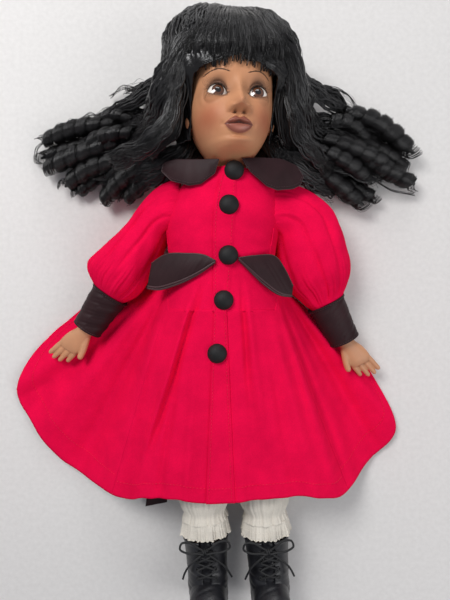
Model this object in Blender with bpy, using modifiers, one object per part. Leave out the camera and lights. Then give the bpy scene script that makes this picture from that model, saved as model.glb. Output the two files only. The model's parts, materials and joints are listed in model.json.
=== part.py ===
"""A porcelain doll lying on its back: head towards +Y, the doll's front up, +Z.

Hollow swivel head on a porcelain shoulder plate, stuffed cloth body, porcelain forearms
and legs, long curled wig, red coat with black trim, bloomers and laced boots.
Lengths are written in millimetres and turned into metres by MM.
"""

import math

import bmesh
import bpy
from mathutils import Vector

MM = 0.001
TAU = 2.0 * math.pi

# Fits
GAP = 0.35            # between pieces that touch
COAT_CLOTH = 2.0      # red velveteen with its facing
TRIM_CLOTH = 1.8      # black satin, doubled
LINEN = 1.0           # bloomers
BODY_EASE = 1.2       # room between the coat and the body in it
OVERLAP = 1.0         # how far a cutter runs past the face that it cuts

# Head, wig and eyes
HEAD_WIDTH = 55.0
HEAD_DEPTH = 73.0
HEAD_WALL = 3.0
HEAD_YAW = 9.0        # degrees that the head is turned as it lies
NECK_END_Y = 80.5     # lower end of the neck
NECK_X = -5.0
NECK_Z = 38.0         # height of the neck's axis over the bed
NECK_RADIUS = 11.5
CROWN_Y = 168.0       # rim of the open crown, which the pate closes
PATE_RISE = 12.0
EYE_RADIUS = 8.0
EYE_SPACING = 24.4
EYE_Y = 124.0
EYE_Z = 68.5
FRINGE_Y = 141.0      # lower edge of the fringe
FACE_HALF_WIDTH = HEAD_WIDTH / 2.0 - 0.5

# Neck fastening
BOLT_RADIUS = 1.6
BOLT_HOLE_RADIUS = 2.4
BOLT_HEAD_RADIUS = 5.0
BOLT_HEAD_HEIGHT = 2.0
NECK_FLOOR_Y = 90.0   # inner floor of the neck, where the bolt's head sits
NUT_RADIUS = 3.6
NUT_HEIGHT = 2.0
WASHER_RADIUS = 5.5
WASHER_HEIGHT = 1.0
SPRING_RADIUS = 3.4
SPRING_WIRE = 0.5
SPRING_TURNS = 4
WELL_RADIUS = 6.5
PLATE_FLOOR = 8.0     # porcelain over the well in the shoulder plate
PLATE_TOP_Y = 80.0
PLATE_BOTTOM_Y = 60.0

# Coat
WAIST_END_Y = -8.0    # where the bodice ends and the skirt starts
PLACKET_ANGLE = -6.0  # degrees round the bodice from its front, where the fronts part
SIDE_SEAM_ANGLE = 100.0
FRONT_SEAM = 1.3      # degrees of room either side of the placket
SIDE_SEAM = 3.0       # degrees of room at a side seam
BUTTON_RADIUS = 6.2
BUTTON_HEIGHT = 4.0
BODY_END_Y = -13.0

SHOULDER_DROP = 3.2   # how far the plate's shoulders lie below the coat's

# Arms, along each arm from its shoulder joint
SHOULDER_Z = 27.0
ARM_SLOPE = 6.0       # degrees that an arm falls towards its hand
UPPER_ARM_LENGTH = 52.0
UPPER_ARM_RADIUS = 8.5
SLEEVE_LENGTH = 70.0
SLEEVE_BORE = 10.8
CUFF_LENGTH = 31.0
CUFF_BORE = 7.8
HAND_LENGTH = 33.0
FOREARM_RADIUS = CUFF_BORE - 0.6
WRIST_RADIUS = 5.6
TIE_RADIUS = 0.6

# Legs, along each leg from its hip joint
HIP_Y = -30.0
HIP_Z = 29.0
LEG_SLOPE = 3.6
THIGH_LENGTH = 76.0
THIGH_RADIUS = 12.0
LOWER_LEG_LENGTH = 96.0
CALF_RADIUS = 10.8
ANKLE_RADIUS = 8.0
FOOT_LENGTH = 48.0
LACE_DEPTH = 9.5
BOOT_TOP = THIGH_LENGTH + LOWER_LEG_LENGTH - 37.0    # from the hip joint down to the boot's top edge
BLOOMERS_LENGTH = BOOT_TOP - LACE_DEPTH - 1.5
BOOT_HEIGHT = 52.0    # without the sole
BOOT_LENGTH = 60.0
BOOT_WIDTH = 28.0
SOLE_THICKNESS = 4.5
SLIT_WIDTH = 8.0
SLIT_DEPTH = 30.0
TONGUE_THICKNESS = 1.8
LACE_RADIUS = 0.7

# The whole doll as it lies, for centring it on its origin
LEFT_EDGE = -163.5
RIGHT_EDGE = 134.0
TOP_EDGE = 190.0
LEG_LENGTH = BOOT_TOP + BOOT_HEIGHT + GAP + SOLE_THICKNESS
BOTTOM_EDGE = HIP_Y - LEG_LENGTH

# Oval sections of the coat's bodice: y, centre x, centre z, half width, half depth
BODICE = [
    (85.5, -5.0, 40.0, NECK_RADIUS + 3.1, NECK_RADIUS + 5.0),
    (80.0, -5.0, 39.5, NECK_RADIUS + 5.5, NECK_RADIUS + 7.0),
    (76.0, -5.5, 37.5, 28.0, 21.5),
    (70.0, -6.5, 34.0, 35.0, 25.0),
    (58.0, -8.0, 33.0, 38.0, 29.0),
    (42.0, -9.0, 32.0, 37.5, 29.0),
    (24.0, -9.0, 30.5, 35.5, 27.0),
    (8.0, -9.0, 30.0, 38.0, 27.5),
    (WAIST_END_Y, -9.0, 30.0, 41.0, 28.0),
]

# The skirt's rays: degrees round the waist, then x, y, z of the ray's end at the hem and
# how fast it falls (1 is straight, less falls early)
FRONT_LEFT_RAYS = [
    (-64.0, -84.0, -136.0, 25.0, 1.0),
    (-46.0, -62.0, -133.0, 38.0, 1.0),
    (-26.0, -40.0, -131.0, 45.0, 1.0),
    (-7.5, -20.0, -134.0, 46.0, 1.0),
    (2.6, -1.5, -134.0, 47.0, 1.0),
]
FRONT_RIGHT_RAYS = [
    (4.0, -0.2, -134.0, 47.0, 1.0),
    (16.0, 12.0, -131.0, 46.0, 1.0),
    (40.0, 44.0, -130.0, 43.0, 1.0),
    (64.0, 78.0, -133.0, 26.0, 1.0),
]
SIDE_LEFT_RAYS = [
    (-114.0, -112.0, -5.0, 4.6, 0.3),
    (-106.0, -149.0, -39.0, 4.6, 0.3),
    (-98.0, -161.5, -67.0, 4.6, 0.35),
    (-88.0, -149.0, -92.0, 4.6, 0.45),
    (-76.0, -124.0, -122.0, 6.0, 0.6),
    (-66.0, -86.5, -135.0, 24.0, 1.0),
]
SIDE_RIGHT_RAYS = [
    (66.0, 80.5, -132.0, 24.0, 1.0),
    (76.0, 97.0, -121.0, 6.0, 0.6),
    (88.0, 120.0, -95.0, 4.6, 0.45),
    (98.0, 106.0, -62.0, 4.6, 0.35),
    (106.0, 86.0, -34.0, 4.6, 0.3),
    (114.0, 58.0, -16.0, 4.6, 0.3),
]
BACK_OUTLINE = [
    (-44.0, -9.0), (-110.0, -7.0), (-149.0, -40.0), (LEFT_EDGE, -66.0), (-148.0, -93.0),
    (-123.0, -123.0), (-117.0, -131.0), (84.0, -129.0), (97.0, -122.0), (121.0, -95.0),
    (106.0, -62.0), (86.0, -33.0), (27.0, -9.0),
]
RAY_STEPS = 5

LOOKS = {
    "bisque_porcelain": ((0.30, 0.13, 0.065), 0.38, 0.0),
    "eye_glass": ((0.75, 0.72, 0.68), 0.08, 0.0),
    "pate_board": ((0.55, 0.45, 0.33), 0.85, 0.0),
    "black_hair": ((0.008, 0.007, 0.007), 0.32, 0.0),
    "steel": ((0.55, 0.55, 0.56), 0.35, 1.0),
    "muslin": ((0.72, 0.64, 0.54), 0.9, 0.0),
    "tie_cord": ((0.7, 0.66, 0.58), 0.85, 0.0),
    "red_velveteen": ((0.72, 0.008, 0.03), 0.85, 0.0),
    "black_satin": ((0.016, 0.016, 0.02), 0.45, 0.0),
    "button_plastic": ((0.006, 0.006, 0.006), 0.5, 0.0),
    "ivory_cotton": ((0.8, 0.76, 0.68), 0.9, 0.0),
    "ivory_lace": ((0.84, 0.8, 0.72), 0.85, 0.0),
    "boot_leather": ((0.01, 0.01, 0.012), 0.3, 0.0),
    "boot_rubber": ((0.012, 0.012, 0.012), 0.7, 0.0),
    "lace_cord": ((0.012, 0.012, 0.012), 0.7, 0.0),
}


# ---------------------------------------------------------------- tools

def clear_scene():
    for item in list(bpy.data.objects):
        bpy.data.objects.remove(item, do_unlink=True)


def new_collection(name):
    group = bpy.data.collections.new(name)
    bpy.context.scene.collection.children.link(group)
    return group


def make_look(name):
    colour, roughness, metallic = LOOKS[name]
    look = bpy.data.materials.new(name)
    look.use_nodes = True
    shader = look.node_tree.nodes["Principled BSDF"]
    shader.inputs["Base Color"].default_value = (*colour, 1.0)
    shader.inputs["Roughness"].default_value = roughness
    shader.inputs["Metallic"].default_value = metallic
    return look


def place(item, parent, at=(0, 0, 0), turn=(0, 0, 0)):
    item.parent = parent
    item.location = Vector(at) * MM
    item.rotation_euler = [math.radians(angle) for angle in turn]


def make_empty(name, parent, at, turn=(0, 0, 0)):
    pivot = bpy.data.objects.new(name, None)
    pivot.empty_display_size = 10 * MM
    PARTS.objects.link(pivot)
    place(pivot, parent, at, turn)
    return pivot


def make_object(name, mesh, look, parent, at=(0, 0, 0), turn=(0, 0, 0)):
    """A part of the doll, or a cutter where look is None."""
    item = bpy.data.objects.new(name, mesh)
    if look is None:
        CUTTERS.objects.link(item)
        item.hide_render = True
        item.display_type = "WIRE"
    else:
        PARTS.objects.link(item)
        mesh.materials.append(MATERIALS[look])
        mesh.shade_smooth()
        mesh.set_sharp_from_angle(angle=math.radians(40))
    place(item, parent, at, turn)
    return item


def to_mesh(name, shape, outward=True):
    if outward:
        bmesh.ops.recalc_face_normals(shape, faces=shape.faces)
    mesh = bpy.data.meshes.new(name)
    shape.to_mesh(mesh)
    shape.free()
    return mesh


def oval(station, sides, grow=0.0, axis="Y", start=0.0, sweep=TAU):
    """One oval section: (place along the axis, two centre coordinates, two half sizes).

    Angle 0 is the front (+Z, or +Y for a section along Z) and angles grow towards +X.
    """
    along, first, second, half_first, half_second = station
    whole = sweep > TAU - 0.001
    points = []
    for step in range(sides if whole else sides + 1):
        angle = start + sweep * step / sides
        a = first + (half_first + grow) * math.sin(angle)
        b = second + (half_second + grow) * math.cos(angle)
        point = {"Y": (a, along, b), "Z": (a, b, along), "X": (along, a, b)}[axis]
        points.append(Vector(point) * MM)
    return points


def grid_faces(shape, rows, closed):
    verts = [[shape.verts.new(point) for point in row] for row in rows]
    for upper, lower in zip(verts, verts[1:]):
        count = len(upper)
        for i in range(count if closed else count - 1):
            j = (i + 1) % count
            shape.faces.new((upper[i], lower[i], lower[j], upper[j]))
    return verts


def stack(name, stations, look, parent, sides=16, grow=0.0, axis="Y", at=(0, 0, 0), turn=(0, 0, 0)):
    """A closed loft through oval sections, with flat ends."""
    shape = bmesh.new()
    rows = [oval(station, sides, grow, axis) for station in stations]
    verts = grid_faces(shape, rows, True)
    shape.faces.new(verts[0])
    shape.faces.new(verts[-1])
    return make_object(name, to_mesh(name, shape), look, parent, at, turn)


def wrap(name, stations, look, parent, start, end, thickness, sides=8, grow=0.0):
    """A bent sheet over part of a loft, its outer face on the sections."""
    shape = bmesh.new()
    sweep = math.radians(end - start)
    rows = [oval(s, sides, grow, "Y", math.radians(start), sweep) for s in stations]
    grid_faces(shape, rows, sweep > TAU - 0.001)
    item = make_object(name, to_mesh(name, shape, False), look, parent)
    add_thickness(item, thickness)
    return item


def sheet(name, rows, look, parent, thickness):
    """A sheet through rows of points, its upper face on them."""
    shape = bmesh.new()
    grid_faces(shape, [[Vector(p) * MM for p in row] for row in rows], False)
    item = make_object(name, to_mesh(name, shape, False), look, parent)
    add_thickness(item, thickness)
    return item


def add_thickness(item, thickness):
    shell = item.modifiers.new("Thickness", "SOLIDIFY")
    shell.thickness = thickness * MM
    shell.offset = -1.0


def plate(name, outline, thickness, look, parent, at=(0, 0, 0), turn=(0, 0, 0)):
    """A flat outline given in its own XY plane, thick upwards from its own z = 0."""
    data = bpy.data.curves.new(name, "CURVE")
    data.dimensions = "2D"
    data.fill_mode = "BOTH"
    data.extrude = thickness * MM / 2.0
    spline = data.splines.new("POLY")
    spline.points.add(len(outline) - 1)
    for point, (x, y) in zip(spline.points, outline):
        point.co = (x * MM, y * MM, 0.0, 1.0)
    spline.use_cyclic_u = True
    return mesh_of_curve(name, data, look, parent, at, turn, (0.0, 0.0, thickness / 2.0))


def tube(name, points, radius, look, parent, at=(0, 0, 0), turn=(0, 0, 0), closed=False):
    """A round bar along points."""
    data = bpy.data.curves.new(name, "CURVE")
    data.dimensions = "3D"
    data.bevel_depth = radius * MM
    data.bevel_resolution = 2
    data.use_fill_caps = not closed
    spline = data.splines.new("POLY")
    spline.points.add(len(points) - 1)
    for point, place_of in zip(spline.points, points):
        point.co = (*(Vector(place_of) * MM), 1.0)
    spline.use_cyclic_u = closed
    return mesh_of_curve(name, data, look, parent, at, turn)


def mesh_of_curve(name, data, look, parent, at, turn, lift=(0, 0, 0)):
    """Turns a curve into a welded mesh object, so that it can be joined or cut."""
    guide = bpy.data.objects.new(name + "_curve", data)
    CUTTERS.objects.link(guide)
    bpy.context.view_layer.update()
    evaluated = guide.evaluated_get(bpy.context.evaluated_depsgraph_get())
    mesh = bpy.data.meshes.new_from_object(evaluated)
    bpy.data.objects.remove(guide, do_unlink=True)
    shape = bmesh.new()
    shape.from_mesh(mesh)
    bmesh.ops.remove_doubles(shape, verts=shape.verts, dist=0.00002)
    bmesh.ops.translate(shape, verts=shape.verts, vec=Vector(lift) * MM)
    mesh = to_mesh(name, shape)
    mesh.materials.clear()
    return make_object(name, mesh, look, parent, at, turn)


def turned(name, profile, look, parent, at=(0, 0, 0), turn=(0, 0, 0), steps=16):
    """A solid turned about its own Z: profile is (radius, z) from the top down."""
    shape = bmesh.new()
    verts = [shape.verts.new((radius * MM, 0.0, z * MM)) for radius, z in profile]
    for upper, lower in zip(verts, verts[1:]):
        shape.edges.new((upper, lower))
    item = make_object(name, to_mesh(name, shape, False), look, parent, at, turn)
    screw = item.modifiers.new("Turned", "SCREW")
    screw.steps = steps
    screw.render_steps = steps
    screw.use_merge_vertices = True
    screw.merge_threshold = 0.00001
    return item


def block(name, low, high, look, parent):
    """A box between two corners."""
    shape = bmesh.new()
    bmesh.ops.create_cube(shape, size=1.0)
    low, high = Vector(low), Vector(high)
    bmesh.ops.scale(shape, vec=(high - low) * MM, verts=shape.verts)
    bmesh.ops.translate(shape, vec=(high + low) * MM / 2.0, verts=shape.verts)
    return make_object(name, to_mesh(name, shape), look, parent)


def ball(name, radius, look, parent, at, segments=16):
    shape = bmesh.new()
    bmesh.ops.create_uvsphere(shape, u_segments=segments, v_segments=segments // 2, radius=radius * MM)
    return make_object(name, to_mesh(name, shape), look, parent, at)


def combine(item, other, operation):
    step = item.modifiers.new(operation.title(), "BOOLEAN")
    step.operation = operation
    step.solver = "EXACT"
    step.object = other


def cut(item, *cutters):
    for cutter in cutters:
        combine(item, cutter, "DIFFERENCE")


def fuse(item, *others):
    for other in others:
        combine(item, other, "UNION")


def inside(stations, top, bottom):
    """The stations between two heights, with sections worked out at both ends."""
    def at_height(y):
        for upper, lower in zip(stations, stations[1:]):
            if upper[0] >= y >= lower[0]:
                share = (upper[0] - y) / (upper[0] - lower[0])
                return (y, *[a + (b - a) * share for a, b in zip(upper[1:], lower[1:])])
        raise ValueError("height is outside the stations")
    between = [s for s in stations if bottom + 0.5 < s[0] < top - 0.5]
    return [at_height(top), *between, at_height(bottom)]


# ---------------------------------------------------------------- head and wig

def head_stations():
    w = HEAD_WIDTH / 2.0
    d = HEAD_DEPTH / 2.0
    return [
        (NECK_END_Y, 0.0, NECK_Z, NECK_RADIUS, NECK_RADIUS),
        (NECK_END_Y + 6.0, 0.0, NECK_Z, NECK_RADIUS - 0.5, NECK_RADIUS - 0.5),
        (90.0, 0.0, 46.0, 0.55 * w, 0.56 * d),
        (97.0, 0.0, 46.0, 0.78 * w, 0.77 * d),
        (107.0, 0.0, 45.0, 0.90 * w, 0.89 * d),
        (118.0, 0.0, 44.5, 0.97 * w, 0.95 * d),
        (130.0, 0.0, 44.0, w, 0.99 * d),
        (142.0, 0.0, 44.0, w, d),
        (155.0, 0.0, 43.0, 0.95 * w, 0.95 * d),
        (CROWN_Y, 0.0, 42.0, 0.82 * w, 0.82 * d),
    ]


def pate_stations(lift=GAP):
    rim = head_stations()[-1]
    levels = [(0.0, 1.0), (0.45, 0.87), (0.8, 0.6), (1.0, 0.25)]
    return [
        (CROWN_Y + lift + PATE_RISE * rise, rim[1], rim[2], rim[3] * share, rim[4] * share)
        for rise, share in levels
    ]


def make_head(parent):
    head = stack("head", head_stations(), "bisque_porcelain", parent, sides=20)
    hollow = [s for s in head_stations() if s[0] >= NECK_FLOOR_Y]
    hollow[0] = (NECK_FLOOR_Y, *hollow[0][1:])
    hollow.append((CROWN_Y + OVERLAP, *hollow[-1][1:]))
    inner = stack("head_hollow", hollow, None, parent, sides=20, grow=-HEAD_WALL)
    hole = stack("head_bolt_hole", [
        (NECK_END_Y - OVERLAP, 0.0, NECK_Z, BOLT_HOLE_RADIUS, BOLT_HOLE_RADIUS),
        (NECK_FLOOR_Y + OVERLAP, 0.0, NECK_Z, BOLT_HOLE_RADIUS, BOLT_HOLE_RADIUS),
    ], None, parent, sides=12)
    cut(head, inner, hole)
    for side, sign in (("left", -1), ("right", 1)):
        centre = (sign * EYE_SPACING / 2.0, EYE_Y, EYE_Z)
        socket = ball("eye_socket_" + side, EYE_RADIUS + GAP, None, parent, centre, 16)
        cut(head, socket)
        ball("eye_" + side, EYE_RADIUS, "eye_glass", parent, centre, 16)
    stack("head_pate", pate_stations(), "pate_board", parent, sides=20)


def make_wig_crown(parent):
    crown = stack("wig_crown", [
        (104.0, 0.0, 30.0, 42.0, 27.0),
        (116.0, 0.0, 33.0, 49.0, 30.0),
        (130.0, 0.0, 38.5, 51.0, 35.5),
        (146.0, 0.0, 43.5, 50.0, 40.0),
        (162.0, 0.0, 42.5, 46.0, 39.5),
        (176.0, 0.0, 38.5, 36.0, 32.0),
        (186.0, 0.0, 34.0, 20.0, 20.0),
        (TOP_EDGE, 0.0, 32.0, 6.0, 6.0),
    ], "black_hair", parent, sides=20)
    low_head = [s for s in head_stations() if s[0] > 95.0]
    scalp = stack("scalp_space", low_head + pate_stations(3 * GAP), None, parent, sides=20, grow=GAP)
    face = block("face_opening", (-FACE_HALF_WIDTH, 90.0, 36.0), (FACE_HALF_WIDTH, FRINGE_Y, 110.0),
                 None, parent)
    cut(crown, scalp, face)


def make_tresses(parent):
    stack("hair_tress_left", [
        (-61.0, 121.0, 17.0, 22.0, 14.5),
        (-72.0, 119.0, 17.0, 29.0, 16.5),
        (-100.0, 103.0, 14.0, 30.0, 13.5),
        (-130.0, 102.0, 11.0, 21.0, 10.5),
        (-149.0, 104.0, 8.0, 8.0, 6.0),
    ], "black_hair", parent, sides=14, axis="X")
    stack("hair_tress_right", [
        (51.5, 120.0, 17.0, 20.0, 14.0),
        (64.0, 118.0, 17.0, 27.0, 16.5),
        (90.0, 107.0, 14.0, 32.0, 13.5),
        (115.0, 101.0, 11.5, 24.0, 11.0),
        (RIGHT_EDGE, 94.0, 9.0, 13.0, 7.0),
    ], "black_hair", parent, sides=14, axis="X")


# ---------------------------------------------------------------- body and neck fastening

def make_body(parent):
    skin = -(COAT_CLOTH + BODY_EASE)
    slope = [(y - SHOULDER_DROP, x, z, a, b) for y, x, z, a, b in BODICE]
    slope = inside(slope, PLATE_TOP_Y - SHOULDER_DROP, PLATE_BOTTOM_Y)
    neck_ring = (PLATE_TOP_Y, NECK_X, NECK_Z, NECK_RADIUS + 4.0, NECK_RADIUS + 2.5)
    plate_part = stack("shoulder_plate", [neck_ring, *slope], "bisque_porcelain", parent, sides=16,
                       grow=skin)
    well_top = PLATE_TOP_Y - PLATE_FLOOR
    well = stack("plate_well", [
        (well_top, NECK_X, NECK_Z, WELL_RADIUS, WELL_RADIUS),
        (PLATE_BOTTOM_Y - OVERLAP, NECK_X, NECK_Z, WELL_RADIUS, WELL_RADIUS),
    ], None, parent, sides=16)
    hole = stack("plate_bolt_hole", [
        (PLATE_TOP_Y + OVERLAP, NECK_X, NECK_Z, BOLT_HOLE_RADIUS, BOLT_HOLE_RADIUS),
        (well_top - OVERLAP, NECK_X, NECK_Z, BOLT_HOLE_RADIUS, BOLT_HOLE_RADIUS),
    ], None, parent, sides=12)
    cut(plate_part, well, hole)
    stuffing = skin - LINEN - GAP
    stack("torso_body", inside(BODICE, PLATE_BOTTOM_Y - GAP, WAIST_END_Y)
          + [(BODY_END_Y, -9.0, 30.0, 37.0, 24.0)],
          "muslin", parent, sides=16, grow=stuffing)
    wrap("bloomers_waist", inside(BODICE, 12.0, WAIST_END_Y), "ivory_cotton", parent, 0.0, 360.0,
         LINEN, sides=16, grow=skin)


def make_neck_fastening(parent):
    """A bolt from inside the neck, held by a spring, washer and nut in the plate's well."""
    lie = (-90.0, 0.0, 0.0)
    well_top = PLATE_TOP_Y - PLATE_FLOOR
    nut_y = PLATE_BOTTOM_Y + 0.6
    washer_y = nut_y + NUT_HEIGHT + GAP
    spring_low = washer_y + WASHER_HEIGHT + GAP + SPRING_WIRE
    spring_high = well_top - GAP - SPRING_WIRE
    head_top = NECK_FLOOR_Y + GAP + BOLT_HEAD_HEIGHT
    turned("neck_bolt", [
        (0.0, head_top), (BOLT_HEAD_RADIUS, head_top), (BOLT_HEAD_RADIUS, NECK_FLOOR_Y + GAP),
        (BOLT_RADIUS, NECK_FLOOR_Y + GAP), (BOLT_RADIUS, nut_y - 0.2), (0.0, nut_y - 0.2),
    ], "steel", parent, (NECK_X, 0.0, NECK_Z), lie, steps=12)
    for name, radius, height, base in (
        ("neck_nut", NUT_RADIUS, NUT_HEIGHT, nut_y),
        ("neck_washer", WASHER_RADIUS, WASHER_HEIGHT, washer_y),
    ):
        bore = BOLT_RADIUS + GAP
        turned(name, [
            (bore, base + height), (radius, base + height), (radius, base), (bore, base),
            (bore, base + height),
        ], "steel", parent, (NECK_X, 0.0, NECK_Z), lie, steps=6 if name == "neck_nut" else 12)
    count = SPRING_TURNS * 8
    points = []
    for step in range(count + 1):
        angle = TAU * SPRING_TURNS * step / count
        y = spring_low + (spring_high - spring_low) * step / count
        points.append((NECK_X + SPRING_RADIUS * math.cos(angle), y, NECK_Z + SPRING_RADIUS * math.sin(angle)))
    tube("neck_spring", points, SPRING_WIRE, "steel", parent)


# ---------------------------------------------------------------- coat

def make_bodice(parent):
    seam = FRONT_SEAM
    for name, start, end in (
        ("coat_front_left", -SIDE_SEAM_ANGLE, PLACKET_ANGLE - seam),
        ("coat_front_right", PLACKET_ANGLE + seam, SIDE_SEAM_ANGLE),
        ("coat_back", SIDE_SEAM_ANGLE + SIDE_SEAM, 360.0 - SIDE_SEAM_ANGLE - SIDE_SEAM),
    ):
        wrap(name, BODICE, "red_velveteen", parent, start, end, COAT_CLOTH, sides=8)


def waist_point(angle):
    y, x, z, half_width, half_depth = BODICE[-1]
    turn = math.radians(angle)
    return Vector((x + half_width * math.sin(turn), y - 2.0, z + half_depth * math.cos(turn)))


def skirt_rows(rays):
    """Points along each ray, turned into rows from the waist to the hem."""
    lines = []
    for angle, x, y, z, fall in rays:
        start = waist_point(angle)
        line = []
        for step in range(RAY_STEPS + 1):
            share = step / RAY_STEPS
            drop = share ** fall
            line.append((start.x + (x - start.x) * share, start.y + (y - start.y) * share,
                         start.z + (z - start.z) * drop))
        lines.append(line)
    return [list(row) for row in zip(*lines)]


def make_static_skirt(parent):
    sheet("skirt_side_left", skirt_rows(SIDE_LEFT_RAYS), "red_velveteen", parent, COAT_CLOTH)
    sheet("skirt_side_right", skirt_rows(SIDE_RIGHT_RAYS), "red_velveteen", parent, COAT_CLOTH)
    plate("skirt_back", BACK_OUTLINE, COAT_CLOTH, "red_velveteen", parent)
    plate("sash_tail", [(-66.0, -153.0), (-50.0, -150.0), (-46.0, -110.0), (-60.0, -110.0)],
          TRIM_CLOTH, "black_satin", parent, (0.0, 0.0, COAT_CLOTH + GAP))


def make_front_skirt(name, rays, parent, pivot_at):
    """One front half of the skirt, hung on its own waist hinge."""
    offset = Vector(pivot_at)
    rows = [[Vector(p) - offset for p in row] for row in skirt_rows(rays)]
    sheet("skirt_front_" + name, rows, "red_velveteen", parent, COAT_CLOTH)


def button_profile(height, radius):
    return [(0.0, height), (0.45 * radius, 0.93 * height), (0.8 * radius, 0.68 * height),
            (radius, 0.3 * height), (radius, 0.0), (0.0, 0.0)]


def make_trim(parent):
    collar_left = [(-11.5, 88.0), (-26.0, 89.0), (-46.0, 86.0), (-42.0, 76.0), (-23.0, 72.5), (-13.5, 80.0)]
    collar_right = [(5.6, 88.0), (9.5, 80.0), (20.0, 71.5), (39.0, 72.0), (34.0, 85.0), (19.0, 88.5)]
    tab_left = [(-13.0, 24.5), (-20.0, 28.0), (-46.0, 29.5), (-52.0, 21.0), (-52.0, 7.0), (-29.0, 12.0)]
    tab_right = [(2.0, 25.5), (20.0, 28.0), (28.0, 27.0), (37.0, 8.0), (34.0, 2.5), (25.0, 4.0), (10.0, 15.0)]
    for name, outline, hinge_x, height, tilt in (
        ("collar_left", collar_left, -11.5, NECK_RADIUS + 48.7, -16.0),
        ("collar_right", collar_right, 6.0, NECK_RADIUS + 48.7, 16.0),
        ("waist_tab_left", tab_left, -13.0, 59.6, -15.0),
        ("waist_tab_right", tab_right, 2.0, 59.0, 16.0),
    ):
        moved = [(x - hinge_x, y) for x, y in outline]
        plate(name, moved, TRIM_CLOTH, "black_satin", parent, (hinge_x, 0.0, height), (0.0, tilt, 0.0))
    spots = [(-1.2, 82.0, NECK_RADIUS + 47.9), (-4.5, 59.7, 62.5), (-4.9, 28.4, 59.5), (-7.8, 0.0, 58.6)]
    for number, spot in enumerate(spots, 1):
        turned("button_" + str(number), button_profile(BUTTON_HEIGHT, BUTTON_RADIUS), "button_plastic",
               parent, spot, steps=14)


# ---------------------------------------------------------------- arms

def make_arm(name, sign, pivot_at, splay, parent):
    """One arm in its own frame: the shoulder joint at the origin, the hand towards -Y."""
    arm = make_empty("shoulder_" + name, parent, pivot_at, (ARM_SLOPE, 0.0, splay))
    armhole = block("armhole_plane_" + name,
                    sorted_low(pivot_at[0], pivot_at[0] - sign * 60.0, -60.0, -20.0),
                    sorted_high(pivot_at[0], pivot_at[0] - sign * 60.0, 130.0, 90.0), None, parent)
    r = UPPER_ARM_RADIUS
    out = sign
    upper = stack("upper_arm_" + name, [
        (10.0, 0.0, 0.0, 0.5 * r, 0.5 * r), (6.0, 0.0, 0.0, 0.9 * r, 0.9 * r),
        (0.0, 0.0, 0.0, r, r), (-UPPER_ARM_LENGTH + 6.0, 0.0, 0.0, r, r),
        (-UPPER_ARM_LENGTH, 0.0, 0.0, 0.9 * r, 0.9 * r),
    ], "muslin", arm, sides=14)
    cut(upper, armhole)
    tie_r = r + GAP + TIE_RADIUS
    ring = [(tie_r * math.cos(TAU * i / 16), -UPPER_ARM_LENGTH + 8.0, tie_r * math.sin(TAU * i / 16))
            for i in range(16)]
    tube("arm_tie_" + name, ring, TIE_RADIUS, "tie_cord", arm, closed=True)
    sleeve = stack("sleeve_" + name, [
        (22.0, out * 5.0, 0.0, 11.0, 9.0), (14.0, out * 6.0, 0.0, 19.0, 16.5),
        (0.0, out * 7.0, 0.0, 23.0, 20.5), (-18.0, out * 7.5, 0.5, 24.0, 22.0),
        (-36.0, out * 7.0, 1.0, 24.0, 22.0), (-54.0, out * 4.0, 1.0, 21.0, 19.0),
        (-SLEEVE_LENGTH + 4.0, out * 2.0, 0.0, 15.0, 13.0), (-SLEEVE_LENGTH, out * 1.0, 0.0, 11.5, 10.5),
    ], "red_velveteen", arm, sides=16)
    wide = SLEEVE_BORE
    narrow = CUFF_BORE
    bore = stack("sleeve_bore_" + name, [
        (14.0, 0.0, 0.0, wide, wide), (-SLEEVE_LENGTH + 9.0, 0.0, 0.0, wide, wide),
        (-SLEEVE_LENGTH + 5.0, 0.0, 0.0, narrow, narrow), (-SLEEVE_LENGTH - OVERLAP, 0.0, 0.0, narrow, narrow),
    ], None, arm, sides=14)
    cut(sleeve, bore, armhole)
    cuff_top = -SLEEVE_LENGTH - GAP
    cuff_end = cuff_top - CUFF_LENGTH
    cuff = stack("cuff_" + name, [
        (cuff_top, 0.0, 0.0, 13.0, 10.5), (cuff_end, 0.0, 0.0, 10.2, 9.0),
    ], "black_satin", arm, sides=16)
    cuff_bore = stack("cuff_bore_" + name, [
        (cuff_top + OVERLAP, 0.0, 0.0, narrow, narrow), (cuff_end - OVERLAP, 0.0, 0.0, narrow, narrow),
    ], None, arm, sides=14)
    cut(cuff, cuff_bore)
    make_forearm(name, out, arm, cuff_end)
    return arm


def sorted_low(x_a, x_b, y, z):
    return (min(x_a, x_b), y, z)


def sorted_high(x_a, x_b, y, z):
    return (max(x_a, x_b), y, z)


def make_forearm(name, out, arm, cuff_end):
    wrist = cuff_end
    tip = wrist - HAND_LENGTH
    bend = out * 0.16
    def side_shift(y):
        return bend * (wrist - y) if y < wrist else 0.0
    shape = [
        (-UPPER_ARM_LENGTH - GAP, FOREARM_RADIUS, FOREARM_RADIUS),
        (-SLEEVE_LENGTH, FOREARM_RADIUS, FOREARM_RADIUS),
        (wrist, WRIST_RADIUS, 5.2), (wrist - 4.0, 6.2, 5.0), (wrist - 9.0, 8.2, 4.6),
        (wrist - 17.0, 8.4, 4.0), (tip + 8.0, 6.6, 3.2), (tip + 2.0, 4.0, 2.4), (tip, 2.0, 1.4),
    ]
    hand = stack("forearm_" + name, [(y, side_shift(y), 0.0, a, b) for y, a, b in shape],
                 "bisque_porcelain", arm, sides=14)
    thumb = tube("thumb_" + name, [
        (-out * 2.0, wrist - 6.0, 1.0), (-out * 6.0, wrist - 12.0, 3.5), (-out * 7.0, wrist - 19.0, 4.5),
    ], 2.2, None, arm)
    fuse(hand, thumb)


# ---------------------------------------------------------------- legs

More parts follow.
